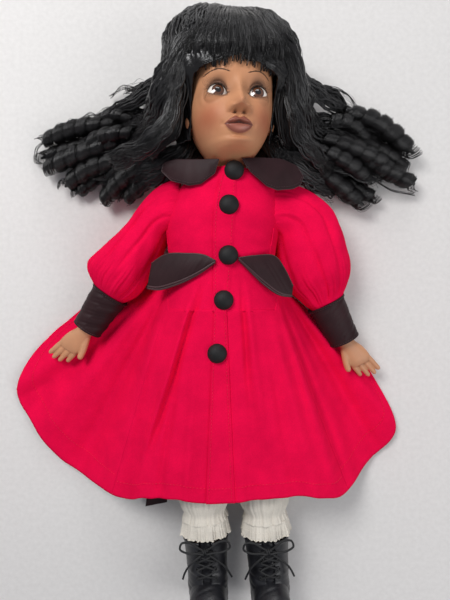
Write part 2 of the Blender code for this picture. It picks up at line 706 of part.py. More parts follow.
def leg_stations():
    top = -THIGH_LENGTH - GAP
    end = -THIGH_LENGTH - LOWER_LEG_LENGTH
    return [
        (top, 0.0, 0.0, 0.93 * CALF_RADIUS, 0.93 * CALF_RADIUS),
        (top - 22.0, 0.0, -0.5, CALF_RADIUS, CALF_RADIUS),
        (end + 42.0, 0.0, -0.5, 0.85 * CALF_RADIUS, 0.85 * CALF_RADIUS),
        (end + 14.0, 0.0, 0.0, ANKLE_RADIUS, ANKLE_RADIUS),
        (end, 0.0, 0.0, ANKLE_RADIUS, ANKLE_RADIUS),
    ]


def foot_stations(heel, length, half_width, height, base):
    """Sections of a foot or boot along z, from the heel to the toe, its underside at base."""
    shares = [(0.0, 0.5, 0.62), (0.09, 0.84, 0.86), (0.3, 0.94, 1.0), (0.52, 0.98, 0.86),
              (0.72, 1.0, 0.66), (0.9, 0.82, 0.5), (1.0, 0.42, 0.3)]
    return [(heel + length * t, 0.0, base + height * h / 2.0, half_width * w, height * h / 2.0)
            for t, w, h in shares]


def make_leg(name, pivot_at, splay, parent):
    """One leg in its own frame: the hip joint at the origin, the sole towards -Y."""
    leg = make_empty("hip_" + name, parent, pivot_at, (LEG_SLOPE, 0.0, splay))
    r = THIGH_RADIUS
    stack("thigh_" + name, [
        (0.82 * r, 0.0, 0.0, 0.5 * r, 0.5 * r), (0.5 * r, 0.0, 0.0, 0.86 * r, 0.86 * r),
        (0.0, 0.0, 0.0, r, r), (-THIGH_LENGTH + 12.0, 0.0, 0.0, 0.94 * r, 0.94 * r),
        (-THIGH_LENGTH, 0.0, 0.0, 0.9 * r, 0.9 * r),
    ], "muslin", leg, sides=14)
    tie_r = 0.94 * r + GAP + TIE_RADIUS
    ring = [(tie_r * math.cos(TAU * i / 16), -THIGH_LENGTH + 7.0, tie_r * math.sin(TAU * i / 16))
            for i in range(16)]
    tube("leg_tie_" + name, ring, TIE_RADIUS, "tie_cord", leg, closed=True)
    shin = stack("lower_leg_" + name, leg_stations(), "bisque_porcelain", leg, sides=14)
    foot_base = -BOOT_TOP - BOOT_HEIGHT + 3.0
    heel = -ANKLE_RADIUS - 1.5
    foot = stack("foot_" + name, foot_stations(heel, FOOT_LENGTH, 9.5, 20.0, foot_base), None, leg,
                 sides=14, axis="Z")
    fuse(shin, foot)
    tube_wall(name, leg)
    make_boot(name, leg, foot_base, heel)


def tube_wall(name, leg):
    """The bloomers' leg, open at both ends, and the lace below its elastic."""
    stations = [
        (-1.0, 0.0, 0.0, 17.5, 15.2), (-50.0, 0.0, 0.0, 18.5, 15.2),
        (-BLOOMERS_LENGTH + 14.0, 0.0, 0.0, 18.0, 15.2), (-BLOOMERS_LENGTH, 0.0, 0.0, 14.5, 13.5),
    ]
    sheet_tube("bloomers_" + name, stations, "ivory_cotton", leg)
    start = -BLOOMERS_LENGTH - GAP
    sheet_tube("lace_trim_" + name, [
        (start, 0.0, 0.0, 14.5, 13.5), (start - LACE_DEPTH, 0.0, 0.0, 18.0, 15.5),
    ], "ivory_lace", leg)


def sheet_tube(name, stations, look, leg):
    wrap(name, stations, look, leg, 0.0, 360.0, LINEN, sides=16)


def make_boot(name, leg, foot_base, heel):
    top = -BOOT_TOP
    base = -BOOT_TOP - BOOT_HEIGHT
    half = BOOT_WIDTH / 2.0
    back = heel - 4.0
    boot = stack("boot_upper_" + name, [
        (top, 0.0, 0.0, 14.8, 14.5), (top - 14.0, 0.0, 0.0, 13.4, 13.2),
        (top - 26.0, 0.0, 0.5, 12.8, 13.2), (base + 12.0, 0.0, 1.0, 12.8, 13.8),
        (base + 2.0, 0.0, 1.0, 12.0, 13.0),
    ], "boot_leather", leg, sides=16)
    outer_foot = stack("boot_foot_" + name, foot_stations(back, BOOT_LENGTH, half, 26.0, base), None,
                       leg, sides=16, axis="Z")
    fuse(boot, outer_foot)
    leg_space = stack("boot_leg_space_" + name, [
        (top + OVERLAP, 0.0, 0.0, CALF_RADIUS, CALF_RADIUS), *leg_stations()[3:],
    ], None, leg, sides=14, grow=GAP)
    foot_space = stack("boot_foot_space_" + name, foot_stations(heel, FOOT_LENGTH, 9.5, 20.0, foot_base),
                       None, leg, sides=14, grow=GAP, axis="Z")
    fuse(leg_space, foot_space)
    slit = block("boot_slit_" + name, (-SLIT_WIDTH / 2.0, top - SLIT_DEPTH, 6.0),
                 (SLIT_WIDTH / 2.0, top + OVERLAP, 40.0), None, leg)
    cut(boot, leg_space, slit)
    rim = CALF_RADIUS + 2 * GAP
    block("boot_tongue_" + name, (-SLIT_WIDTH / 2.0 + GAP, top - SLIT_DEPTH + GAP, rim),
          (SLIT_WIDTH / 2.0 - GAP, top, rim + TONGUE_THICKNESS), "boot_leather", leg)
    make_sole(name, leg, base - GAP, back, half)
    make_laces(name, leg, top)


def make_sole(name, leg, upper_face, back, half):
    """A flat sole with rounded heel and toe, lying under the boot."""
    outline = []
    toe = back + BOOT_LENGTH
    for step in range(9):
        angle = math.pi * step / 8
        outline.append((half * 0.9 * math.cos(angle), toe - 12.0 + 12.0 * math.sin(angle)))
    for step in range(9):
        angle = math.pi + math.pi * step / 8
        outline.append((half * 0.8 * math.cos(angle), back + 11.0 + 11.0 * math.sin(angle)))
    outline = [(x, -z) for x, z in outline]
    plate("boot_sole_" + name, outline, SOLE_THICKNESS, "boot_rubber", leg,
          (0.0, upper_face - SOLE_THICKNESS, 0.0), (-90.0, 0.0, 0.0))


def make_laces(name, leg, top):
    """Crossed laces up the boot's front, ending in a knot with two loops and two tails."""
    front = 15.4 + LACE_RADIUS
    rows = 4
    pitch = 6.0
    knot = (0.0, top - 4.0, front + 1.2)
    laces = ball("boot_laces_" + name, 2.0, "lace_cord", leg, knot, 10)
    for side in (-1, 1):
        zigzag = [(0.0, top - 4.0, front + 1.0)]
        for row in range(rows):
            x = side * 5.5 * (1 if row % 2 == 0 else -1)
            lift = 0.0 if side == 1 else 1.6 * LACE_RADIUS
            zigzag.append((x, top - 7.0 - pitch * row, front + lift + 0.3 * row))
        lacing = tube("lacing_" + name + str(side), zigzag, LACE_RADIUS, None, leg)
        loop = tube("loop_" + name + str(side), loop_route(knot, side), LACE_RADIUS, None, leg)
        tail = tube("tail_" + name + str(side), tail_route(knot, side), LACE_RADIUS, None, leg)
        fuse(laces, lacing, loop, tail)


def loop_route(knot, side):
    """A bow's loop: out, round and back to the knot."""
    x, y, z = knot
    points = []
    for step in range(11):
        angle = -math.pi + TAU * (0.04 + 0.92 * step / 10)
        points.append((x + side * (9.0 + 9.0 * math.cos(angle)), y + 4.5 + 3.6 * math.sin(angle)
                       + 2.5 * math.cos(angle), z + 1.0 + 0.6 * math.sin(angle)))
    return points


def tail_route(knot, side):
    x, y, z = knot
    return [(x + side * s, y - f, z + h) for s, f, h in
            ((0.8, 0.8, 0.2), (4.0, 3.0, 0.8), (8.0, 6.0, 0.4), (12.0, 10.0, -1.2), (15.0, 15.0, -3.8),
             (16.5, 20.0, -6.5), (17.5, 25.0, -9.5))]


# ---------------------------------------------------------------- the doll

def main():
    centre_x = -(LEFT_EDGE + RIGHT_EDGE) / 2.0
    centre_y = -(TOP_EDGE + BOTTOM_EDGE) / 2.0
    doll = make_empty("doll", None, (centre_x, centre_y, 0.0))
    make_body(doll)
    make_neck_fastening(doll)
    make_tresses(doll)
    make_bodice(doll)
    make_static_skirt(doll)
    make_trim(doll)

    neck = make_empty("head_turn", doll, (NECK_X, 0.0, NECK_Z), (0.0, HEAD_YAW, 0.0))
    head_frame = make_empty("head_frame", neck, (0.0, 0.0, -NECK_Z))
    make_head(head_frame)
    make_wig_crown(head_frame)

    make_arm("left", -1, (-48.0, 62.0, SHOULDER_Z), -35.0, doll)
    make_arm("right", 1, (31.5, 60.0, SHOULDER_Z), 28.0, doll)
    make_leg("left", (-27.0, HIP_Y, HIP_Z), 2.7, doll)
    make_leg("right", (13.0, HIP_Y, HIP_Z), 3.9, doll)

    hinge_at = (0.0, WAIST_END_Y - 2.0, 57.0)
    for name, rays in (("left", FRONT_LEFT_RAYS), ("right", FRONT_RIGHT_RAYS)):
        hinge = make_empty("skirt_hinge_" + name, doll, hinge_at)
        make_front_skirt(name, rays, hinge, hinge_at)
        if name == "left":
            turned("button_5", button_profile(BUTTON_HEIGHT, BUTTON_RADIUS), "button_plastic", hinge,
                   (-12.0, -24.0, 0.0), (4.6, 0.0, 0.0), steps=14)


clear_scene()
PARTS = new_collection("porcelain_doll")
CUTTERS = new_collection("cutters")
MATERIALS = {name: make_look(name) for name in LOOKS}
main()
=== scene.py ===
"""Looks of a porcelain doll in a red coat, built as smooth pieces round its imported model."""

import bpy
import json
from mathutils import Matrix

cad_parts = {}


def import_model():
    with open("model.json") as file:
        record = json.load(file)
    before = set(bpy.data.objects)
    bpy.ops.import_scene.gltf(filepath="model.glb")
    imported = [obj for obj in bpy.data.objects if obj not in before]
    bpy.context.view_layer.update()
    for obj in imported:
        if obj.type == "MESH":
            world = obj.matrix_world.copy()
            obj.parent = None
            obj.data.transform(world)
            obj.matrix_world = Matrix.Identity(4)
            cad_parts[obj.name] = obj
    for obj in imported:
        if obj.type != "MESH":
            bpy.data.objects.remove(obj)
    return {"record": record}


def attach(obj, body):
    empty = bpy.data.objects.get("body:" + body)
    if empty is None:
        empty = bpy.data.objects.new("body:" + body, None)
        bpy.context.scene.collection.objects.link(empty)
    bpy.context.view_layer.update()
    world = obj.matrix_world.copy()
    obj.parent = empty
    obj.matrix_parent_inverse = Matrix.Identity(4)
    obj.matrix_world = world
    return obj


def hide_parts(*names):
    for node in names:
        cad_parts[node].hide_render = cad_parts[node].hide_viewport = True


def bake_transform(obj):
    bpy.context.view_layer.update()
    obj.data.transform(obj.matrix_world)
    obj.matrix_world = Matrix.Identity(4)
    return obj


bl_info = {
    "name": "Porcelain Doll Looks",
    "version": (1, 0, 0),
    "blender": (4, 5, 0),
    "location": "3D View > Sidebar > Doll",
    "description": "Builds the doll's head, wig, clothes, hands and boots as detailed surfaces",
    "category": "Object",
}

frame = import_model()

import json
import math

import bmesh
import bpy
import numpy as np
from mathutils import Vector

MM = 0.001
TAU = 2.0 * math.pi
JOINTS = {joint["name"]: joint for joint in frame["record"]["behaviour"]["joints"]}
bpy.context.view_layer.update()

# The doll's own frame, in millimetres: x = 0 near its middle line, y = 0 at the waist, z = 0 on
# the bed. The neck joint stands at (NECK_X, NECK_Y, NECK_Z) in it.
NECK_X = -5.0
NECK_Y = 80.5
NECK_Z = 38.0
ORIGIN = np.array(JOINTS["head_turn"]["pos_m"]) / MM - (NECK_X, NECK_Y, NECK_Z)
HEAD_YAW = math.radians(9.0)
SIDES = (("left", -1), ("right", 1))


# ------------------------------------------------------------------ number work

def through(t, knots, values):
    """Cubic curve through values at rising knots; the slope at a knot is its neighbours' mean slope."""
    knots = np.asarray(knots, float)
    values = np.asarray(values, float)
    t = np.asarray(t, float)
    slopes = np.gradient(values, knots, axis=0)
    i = np.clip(np.searchsorted(knots, t, side="right") - 1, 0, len(knots) - 2)
    h = knots[i + 1] - knots[i]
    s = np.clip((t - knots[i]) / h, 0.0, 1.0)
    if values.ndim > 1:
        h, s = h[..., None], s[..., None]
    return ((1 + 2 * s) * (1 - s) ** 2 * values[i] + s * (1 - s) ** 2 * h * slopes[i]
            + s * s * (3 - 2 * s) * values[i + 1] + s * s * (s - 1) * h * slopes[i + 1])


def smooth_path(points, count):
    """count points evenly spread along a smooth curve through a few points."""
    points = np.asarray(points, float)
    gaps = np.linalg.norm(np.diff(points, axis=0), axis=1)
    knots = np.r_[0.0, np.cumsum(gaps)]
    fine = through(np.linspace(0.0, knots[-1], count * 8), knots, points)
    run = np.r_[0.0, np.cumsum(np.linalg.norm(np.diff(fine, axis=0), axis=1))]
    even = np.linspace(0.0, run[-1], count)
    return np.stack([np.interp(even, run, fine[:, k]) for k in range(3)], -1)


def path_length(path):
    return float(np.linalg.norm(np.diff(path, axis=0), axis=1).sum())


def unit(vectors):
    return vectors / np.maximum(np.linalg.norm(vectors, axis=-1, keepdims=True), 1e-9)


def frames(path, up=(0.0, 0.0, 1.0)):
    """Tangent, normal (towards up) and side at each point of a path."""
    tangent = unit(np.gradient(path, axis=0))
    up = np.broadcast_to(np.asarray(up, float), path.shape)
    normal = unit(up - (up * tangent).sum(-1, keepdims=True) * tangent)
    return tangent, normal, np.cross(tangent, normal)


def bell(x, width):
    return np.exp(-(x / width) ** 2)


def step(x, low, high):
    """0 below low, 1 above high, smooth between."""
    s = np.clip((x - low) / (high - low), 0.0, 1.0)
    return s * s * (3 - 2 * s)


def ripple(x, seed, waves=5, lowest=1.0):
    """A sum of sines of rising frequency and seeded phase, from about -1 to 1."""
    rng = np.random.default_rng(seed)
    total = np.zeros_like(np.asarray(x, float))
    for k in range(waves):
        rate = lowest * (1.0 + 1.6 * k) * rng.uniform(0.8, 1.2)
        total = total + np.sin(rate * x + rng.uniform(0, TAU)) / (1.0 + 0.5 * k)
    return total / 2.6


def turn_x(points, degrees):
    c, s = math.cos(math.radians(degrees)), math.sin(math.radians(degrees))
    x, y, z = points[..., 0], points[..., 1], points[..., 2]
    return np.stack([x, y * c - z * s, y * s + z * c], -1)


def turn_z(points, degrees):
    c, s = math.cos(math.radians(degrees)), math.sin(math.radians(degrees))
    x, y, z = points[..., 0], points[..., 1], points[..., 2]
    return np.stack([x * c - y * s, x * s + y * c, z], -1)


def turn_head(points):
    """From the head's own frame, facing straight up, to the doll's frame: a turn about the neck."""
    c, s = math.cos(HEAD_YAW), math.sin(HEAD_YAW)
    x, y, z = points[..., 0], points[..., 1], points[..., 2] - NECK_Z
    return np.stack([NECK_X + x * c + z * s, y, NECK_Z + z * c - x * s], -1)


class Limb:
    """A limb's frame: its joint at the origin, its far end towards -Y."""

    def __init__(self, joint, slope, splay):
        self.at = np.array(JOINTS[joint]["pos_m"]) / MM - ORIGIN
        self.slope = slope
        self.splay = splay

    def place(self, points):
        return turn_z(turn_x(np.asarray(points, float), self.slope), self.splay) + self.at


ARMS = {"left": Limb("shoulder_left_swing", 6.0, -35.0), "right": Limb("shoulder_right_swing", 6.0, 28.0)}
LEGS = {"left": Limb("hip_left_bend", 3.6, 2.7), "right": Limb("hip_right_bend", 3.6, 3.9)}


def world(points):
    """From the doll's frame in millimetres to the row frame in metres."""
    return (np.asarray(points, float) + ORIGIN) * MM


# ------------------------------------------------------------------ meshes

class Shape:
    """Gathers grids of points, in the doll's frame, into one mesh."""

    def __init__(self):
        self.points, self.quads, self.uvs, self.paints, self.glosses = [], [], [], [], []
        self.count = 0

    def add(self, grid, closed=False, flip=False, repeat=(1.0, 1.0), paint=None, gloss=None):
        """grid is rows by columns by 3; closed joins the last column to the first."""
        rows, cols = grid.shape[:2]
        c, r = np.meshgrid(np.arange(cols if closed else cols - 1), np.arange(rows - 1))
        c2 = (c + 1) % cols
        quad = np.stack([r * cols + c, (r + 1) * cols + c, (r + 1) * cols + c2, r * cols + c2], -1)
        u = np.stack([c, c, c + 1, c + 1], -1) / (cols if closed else cols - 1) * repeat[0]
        v = np.stack([r, r + 1, r + 1, r], -1) / (rows - 1) * repeat[1]
        uv = np.stack([u, v], -1)
        if flip:
            quad, uv = quad[..., ::-1], uv[..., ::-1, :]
        self.quads.append(quad.reshape(-1, 4) + self.count)
        self.uvs.append(uv.reshape(-1, 2))
        self.points.append(grid.reshape(-1, 3))
        white = np.ones((rows * cols, 4)) if paint is None else paint.reshape(-1, 4)
        self.paints.append(white)
        self.glosses.append(np.ones(rows * cols) if gloss is None else gloss.ravel())
        self.count += rows * cols
        return self

    def build(self, name, weld=0.000001, outward=False):
        mesh = bpy.data.meshes.new(name)
        mesh.from_pydata(world(np.concatenate(self.points)), [], np.concatenate(self.quads))
        layer = mesh.uv_layers.new(name="UVMap")
        layer.data.foreach_set("uv", np.concatenate(self.uvs).ravel())
        paint = mesh.attributes.new("paint", "FLOAT_COLOR", "POINT")
        paint.data.foreach_set("color", np.concatenate(self.paints).ravel())
        gloss = mesh.attributes.new("gloss", "FLOAT", "POINT")
        gloss.data.foreach_set("value", np.concatenate(self.glosses))
        shape = bmesh.new()
        shape.from_mesh(mesh)
        bmesh.ops.remove_doubles(shape, verts=shape.verts, dist=weld)
        if outward:
            bmesh.ops.recalc_face_normals(shape, faces=shape.faces)
        shape.to_mesh(mesh)
        shape.free()
        mesh.shade_smooth()
        return mesh


def tube_grid(path, radius, sides=8, up=(0.0, 0.0, 1.0), flat=1.0, caps=True):
    """Path point plus radius times (cosine side + flat sine normal), with each end drawn to a point."""
    path = np.asarray(path, float)
    radius = np.broadcast_to(np.asarray(radius, float), len(path))
    _, normal, side = frames(path, up)
    if caps:
        path = np.concatenate([path[:1], path, path[-1:]])
        radius = np.r_[0.0, radius, 0.0]
        normal = np.concatenate([normal[:1], normal, normal[-1:]])
        side = np.concatenate([side[:1], side, side[-1:]])
    angle = np.arange(sides) * TAU / sides
    ring = (np.cos(angle)[None, :, None] * side[:, None, :]
            + flat * np.sin(angle)[None, :, None] * normal[:, None, :])
    return path[:, None, :] + radius[:, None, None] * ring


def oval_grid(y, x, z, half_x, half_z, angles, power=2.0):
    """Rings across Y: centre plus half sizes times the sine and cosine, squared off by power over 2."""
    e = 2.0 / power
    s, c = np.sin(angles), np.cos(angles)
    s, c = np.sign(s) * np.abs(s) ** e, np.sign(c) * np.abs(c) ** e
    y, x, z, half_x, half_z = (np.asarray(a, float)[:, None] for a in (y, x, z, half_x, half_z))
    return np.stack([x + half_x * s, y + 0.0 * s, z + half_z * c], -1)


def angles_round(count, start=0.0, sweep=360.0):
    """Angles in radians from the front (+Z) towards +X; a whole turn leaves out its last one."""
    whole = abs(sweep) >= 359.9
    return np.radians(start + sweep * np.arange(count) / (count if whole else count - 1))


def add_piece(name, mesh, material, body, replaces=()):
    """Puts a finished mesh in the scene, on its body, in place of its CAD nodes."""
    piece = bpy.data.objects.new(name, mesh)
    bpy.context.scene.collection.objects.link(piece)
    mesh.materials.clear()
    mesh.materials.append(MATERIALS[material])
    if body:
        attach(piece, body)
    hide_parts(*replaces)
    return piece


def thicken(piece, thickness, offset=-1.0):
    shell = piece.modifiers.new("Thickness", "SOLIDIFY")
    shell.thickness = thickness * MM
    shell.offset = offset
    return piece


def grid_size(grid):
    """Width and length of a sheet's grid, in metres, each taken along its longest line."""
    across = np.linalg.norm(np.diff(grid, axis=1), axis=-1).sum(1).max()
    along = np.linalg.norm(np.diff(grid, axis=0), axis=-1).sum(0).max()
    return float(across) * MM, float(along) * MM


def grid_area(grid):
    a = grid[1:, :-1] - grid[:-1, :-1]
    b = grid[:-1, 1:] - grid[:-1, :-1]
    return float(np.linalg.norm(np.cross(a, b), axis=-1).sum()) * MM * MM


def declare_sheet(grid, fullness=1.0):
    """Works out the flat cut of a sheet of cloth, a little more than what is seen of it, and keeps nothing of
    it.
    """
    width, length = grid_size(grid)
    area = min(grid_area(grid) * fullness, width * length)
    area = max(area, 0.31 * width * length)


# ------------------------------------------------------------------ materials

MATERIALS = {}


class Nodes:
    """Short words for building one node material."""

    def __init__(self, name, colour, roughness, **constants):
        self.material = bpy.data.materials.new(name)
        self.material.use_nodes = True
        self.tree = self.material.node_tree
        self.shader = self.tree.nodes["Principled BSDF"]
        self.shader.inputs["Base Color"].default_value = (*colour, 1.0)
        self.shader.inputs["Roughness"].default_value = roughness
        for key, value in constants.items():
            self.shader.inputs[key.replace("_", " ")].default_value = value
        MATERIALS[name] = self.material

    def node(self, kind, **values):
        made = self.tree.nodes.new(kind)
        for key, value in values.items():
            if key in made.inputs:
                made.inputs[key].default_value = value
            else:
                setattr(made, key, value)
        return made

    def link(self, output, target):
        self.tree.links.new(output, target)

    def place_source(self, scale=(1.0, 1.0, 1.0), uv=False):
        """Object coordinates, or the piece's own UV map, times scale."""
        mapping = self.node("ShaderNodeMapping")
        mapping.inputs["Scale"].default_value = scale
        if uv:
            source = self.node("ShaderNodeUVMap", uv_map="UVMap")
            self.link(source.outputs["UV"], mapping.inputs["Vector"])
        else:
            source = self.node("ShaderNodeTexCoord")
            self.link(source.outputs["Object"], mapping.inputs["Vector"])
        return mapping.outputs["Vector"]

    def noise(self, vector, scale, detail=4.0, roughness=0.5):
        made = self.node("ShaderNodeTexNoise", Scale=scale, Detail=detail, Roughness=roughness)
        self.link(vector, made.inputs["Vector"])
        return made.outputs["Fac"]

    def ramp(self, value, low, high, positions=(0.3, 0.7)):
        """Colour from low to high as value goes between two positions."""
        made = self.node("ShaderNodeValToRGB")
        for stop, position, colour in zip(made.color_ramp.elements, positions, (low, high)):
            stop.position = position
            stop.color = (*colour, 1.0)
        self.link(value, made.inputs["Fac"])
        return made.outputs["Color"]

    def mix(self, share, first, second, kind="MIX"):
        made = self.node("ShaderNodeMix", data_type="RGBA", blend_type=kind)
        if isinstance(share, float):
            made.inputs[0].default_value = share
        else:
            self.link(share, made.inputs[0])
        self.link(first, made.inputs[6])
        self.link(second, made.inputs[7])
        return made.outputs[2]

    def attribute(self, name, output):
        return self.node("ShaderNodeAttribute", attribute_name=name).outputs[output]

    def range(self, value, low, high):
        made = self.node("ShaderNodeMapRange")
        made.inputs["To Min"].default_value = low
        made.inputs["To Max"].default_value = high
        self.link(value, made.inputs["Value"])
        return made.outputs["Result"]

    def colour(self, output):
        self.link(output, self.shader.inputs["Base Color"])

    def rough(self, output):
        self.link(output, self.shader.inputs["Roughness"])

    def bump(self, height, strength, distance, before=None):
        made = self.node("ShaderNodeBump", Strength=strength, Distance=distance)
        self.link(height, made.inputs["Height"])
        if before is not None:
            self.link(before.outputs["Normal"], made.inputs["Normal"])
        self.link(made.outputs["Normal"], self.shader.inputs["Normal"])
        return made


def tint(colour, share):
    return tuple(min(1.0, channel * share) for channel in colour)


def cloth_material(name, colour, roughness, weave, depth, shade=0.75, **constants):
    """Cloth: a fine weave of two crossed waves, soft mottling and a little fuzz in the roughness."""
    n = Nodes(name, colour, roughness, **constants)
    place = n.place_source()
    mottle = n.noise(place, 55.0, 5.0, 0.6)
    fine = n.noise(place, 1400.0, 3.0, 0.7)
    base = n.ramp(mottle, tint(colour, shade), tint(colour, 1.08))
    fuzz = n.ramp(fine, (0.82, 0.82, 0.82), (1.0, 1.0, 1.0))
    n.colour(n.mix(0.8, base, fuzz, "MULTIPLY"))
    n.rough(n.range(fine, roughness - 0.08, roughness + 0.08))
    waves = []
    for axis in ("X", "Y"):
        wave = n.node("ShaderNodeTexWave", bands_direction=axis, Scale=weave, Distortion=0.6)
        n.link(place, wave.inputs["Vector"])
        waves.append(wave.outputs["Color"])
    first = n.bump(n.mix(0.5, waves[0], waves[1]), 0.35, depth)
    n.bump(fine, 0.3, depth, first)
    return n


def hair_material(name, colour, light, roughness):
    """Hair: fine lines along each lock from noise stretched over its UV map."""
    n = Nodes(name, colour, roughness, IOR=1.5)
    n.shader.inputs["Specular IOR Level"].default_value = 0.5
    along = n.place_source((46.0, 1.6, 1.0), uv=True)
    lines = n.noise(along, 1.0, 6.0, 0.75)
    n.colour(n.ramp(lines, colour, light, (0.35, 0.75)))
    n.rough(n.range(lines, roughness - 0.08, roughness + 0.12))
    n.bump(lines, 0.55, 0.0003)
    return n


def painted_material(name, matt, glossy, grain, **constants):
    """Porcelain or glass whose colour is painted on its points and whose gloss follows them too."""
    n = Nodes(name, (0.5, 0.5, 0.5), matt, **constants)
    place = n.place_source()
    mottle = n.noise(place, 130.0, 4.0, 0.6)
    shade = n.ramp(mottle, (0.93, 0.92, 0.91), (1.0, 1.0, 1.0))
    n.colour(n.mix(1.0, n.attribute("paint", "Color"), shade, "MULTIPLY"))
    n.rough(n.range(n.attribute("gloss", "Fac"), matt, glossy))
    n.bump(n.noise(place, 2600.0, 2.0, 0.5), 0.12, grain)
    return n


def make_materials(colours):
    """All the doll's finishes, from the panel's colours."""
    skin = tuple(colours.skin)
    painted_material("porcelain", 0.58, 0.24, 0.00002).shader.inputs["Specular IOR Level"].default_value = 0.3
    painted_material("eye", 0.3, 0.05, 0.000001, Coat_Weight=1.0, Coat_Roughness=0.02)
    hair_material("hair", tuple(colours.hair), (0.009, 0.008, 0.008), 0.2)
    hair_material("lash", (0.012, 0.008, 0.006), (0.02, 0.014, 0.01), 0.5)
    brow = Nodes("brow", (0.085, 0.035, 0.014), 0.55)
    brow.colour(brow.ramp(brow.noise(brow.place_source(), 3000.0), (0.07, 0.028, 0.011),
                          (0.12, 0.055, 0.024)))
    coat = cloth_material("velveteen", tuple(colours.coat), 0.9, 900.0, 0.00014, 0.88)
    coat.shader.inputs["Specular IOR Level"].default_value = 0.02
    thread = cloth_material("red_thread", tint(tuple(colours.coat), 1.15), 0.6, 2500.0, 0.00005)
    thread.shader.inputs["Specular IOR Level"].default_value = 0.3
    satin = cloth_material("satin", tuple(colours.satin), 0.5, 1500.0, 0.00004, 0.7)
    satin.shader.inputs["Specular IOR Level"].default_value = 0.16
    cloth_material("satin_piping", tint(tuple(colours.satin), 1.9), 0.45, 1800.0, 0.00003, 0.7)
    cloth_material("cotton", tuple(colours.cotton), 0.9, 1100.0, 0.0001, 0.9)
    cloth_material("lace", tint(tuple(colours.cotton), 1.06), 0.9, 700.0, 0.0002, 0.8)
    cloth_material("muslin", (0.6, 0.51, 0.4), 0.92, 900.0, 0.0001, 0.85)
    cloth_material("cord", (0.014, 0.014, 0.015), 0.7, 1600.0, 0.0001, 0.7)
    cloth_material("tie", (0.6, 0.56, 0.48), 0.9, 1600.0, 0.0001, 0.7)
    leather_material("leather", (0.009, 0.009, 0.011), 0.3)
    leather_material("rubber", (0.012, 0.012, 0.013), 0.62)
    flock = cloth_material("button", (0.006, 0.0055, 0.006), 0.62, 1500.0, 0.00006, 0.6)
    flock.shader.inputs["Specular IOR Level"].default_value = 0.35
    metal = Nodes("steel", (0.55, 0.55, 0.56), 0.34, Metallic=1.0)
    metal.rough(metal.range(metal.noise(metal.place_source((1.0, 1.0, 14.0)), 500.0), 0.25, 0.45))
    board = Nodes("board", (0.5, 0.4, 0.29), 0.88)
    board.colour(board.ramp(board.noise(board.place_source(), 600.0), (0.42, 0.33, 0.23), (0.55, 0.45, 0.33)))
    bone = Nodes("plain_porcelain", skin, 0.5, Coat_Weight=0.06)
    bone.colour(bone.ramp(bone.noise(bone.place_source(), 90.0), tint(skin, 0.9), tint(skin, 1.05)))


def leather_material(name, colour, roughness):
    """Leather or rubber: cell grain with a fine crackle."""
    n = Nodes(name, colour, roughness)
    place = n.place_source()
    cells = n.node("ShaderNodeTexVoronoi", Scale=900.0)
    n.link(place, cells.inputs["Vector"])
    wear = n.noise(place, 160.0, 5.0, 0.65)
    n.colour(n.ramp(wear, tint(colour, 0.7), tint(colour, 1.8)))
    n.rough(n.range(wear, roughness - 0.06, roughness + 0.14))
    first = n.bump(cells.outputs["Distance"], 0.3, 0.0001)
    n.bump(wear, 0.25, 0.0003, first)
    return n


# ------------------------------------------------------------------ head

HEAD_Y = [79.0, 84.0, 87.5, 90.0, 92.0, 95.0, 99.0, 105.0, 112.0, 120.0, 130.0, 142.0, 155.0, 168.0, 178.0,
          184.0]
HEAD_HALF = [11.5, 11.2, 11.4, 12.6, 14.2, 16.6, 19.4, 22.9, 25.4, 26.9, 27.4, 27.4, 26.2, 22.2, 15.5, 6.0]
HEAD_FRONT = [49.5, 49.5, 52.0, 63.0, 71.5, 76.5, 77.5, 78.6, 79.4, 79.0, 79.0, 80.6, 79.0, 73.0, 63.0, 49.0]
HEAD_BACK = [26.5, 27.0, 27.0, 25.0, 22.5, 19.5, 16.5, 13.0, 10.5, 9.2, 8.0, 7.5, 8.6, 13.0, 21.0, 32.0]
HEAD_POWER = 2.2
EYE_X = 12.2
EYE_CENTRE = (124.0, 68.5)
EYE_RADIUS = 8.0
EYE_HALF = 5.9
EYE_CORNER_Y = 124.1
MOUTH_Y = 104.9
MOUTH_HALF = 8.9


def head_section(y):
    half = through(y, HEAD_Y, HEAD_HALF)
    front = through(y, HEAD_Y, HEAD_FRONT)
    back = through(y, HEAD_Y, HEAD_BACK)
    return half, (front + back) / 2.0, (front - back) / 2.0


def dome(x, power):
    """A rise from 0 to 1 and back to 0 as x goes from -1 to 1."""
    return np.clip(1.0 - np.abs(x) ** 2, 0.0, 1.0) ** power


def lid_lines(x):
    """Heights of the upper and the lower lid's edge across one eye."""
    along = (np.abs(x) - EYE_X) / EYE_HALF
    lean = 0.35 * along
    upper = EYE_CORNER_Y + lean + 4.9 * dome(along - 0.05, 0.62)
    lower = EYE_CORNER_Y + lean - 1.7 * dome(along, 0.6)
    return upper, lower, along


def lip_lines(x):
    """Heights of the upper lip's top, the parting and the lower lip's bottom."""
    along = x / MOUTH_HALF
    top = (MOUTH_Y - 0.4 + 4.1 * dome(along, 0.95) * (1.0 - 0.2 * bell(x, 1.7))
           + 0.4 * bell(np.abs(x) - 2.6, 1.4))
    parting = MOUTH_Y - 0.5 * np.abs(along) ** 2 + 0.5 * bell(x, 2.0)
    bottom = MOUTH_Y - 0.5 - 5.3 * dome(along / 0.92, 0.7)
    return top, parting, bottom


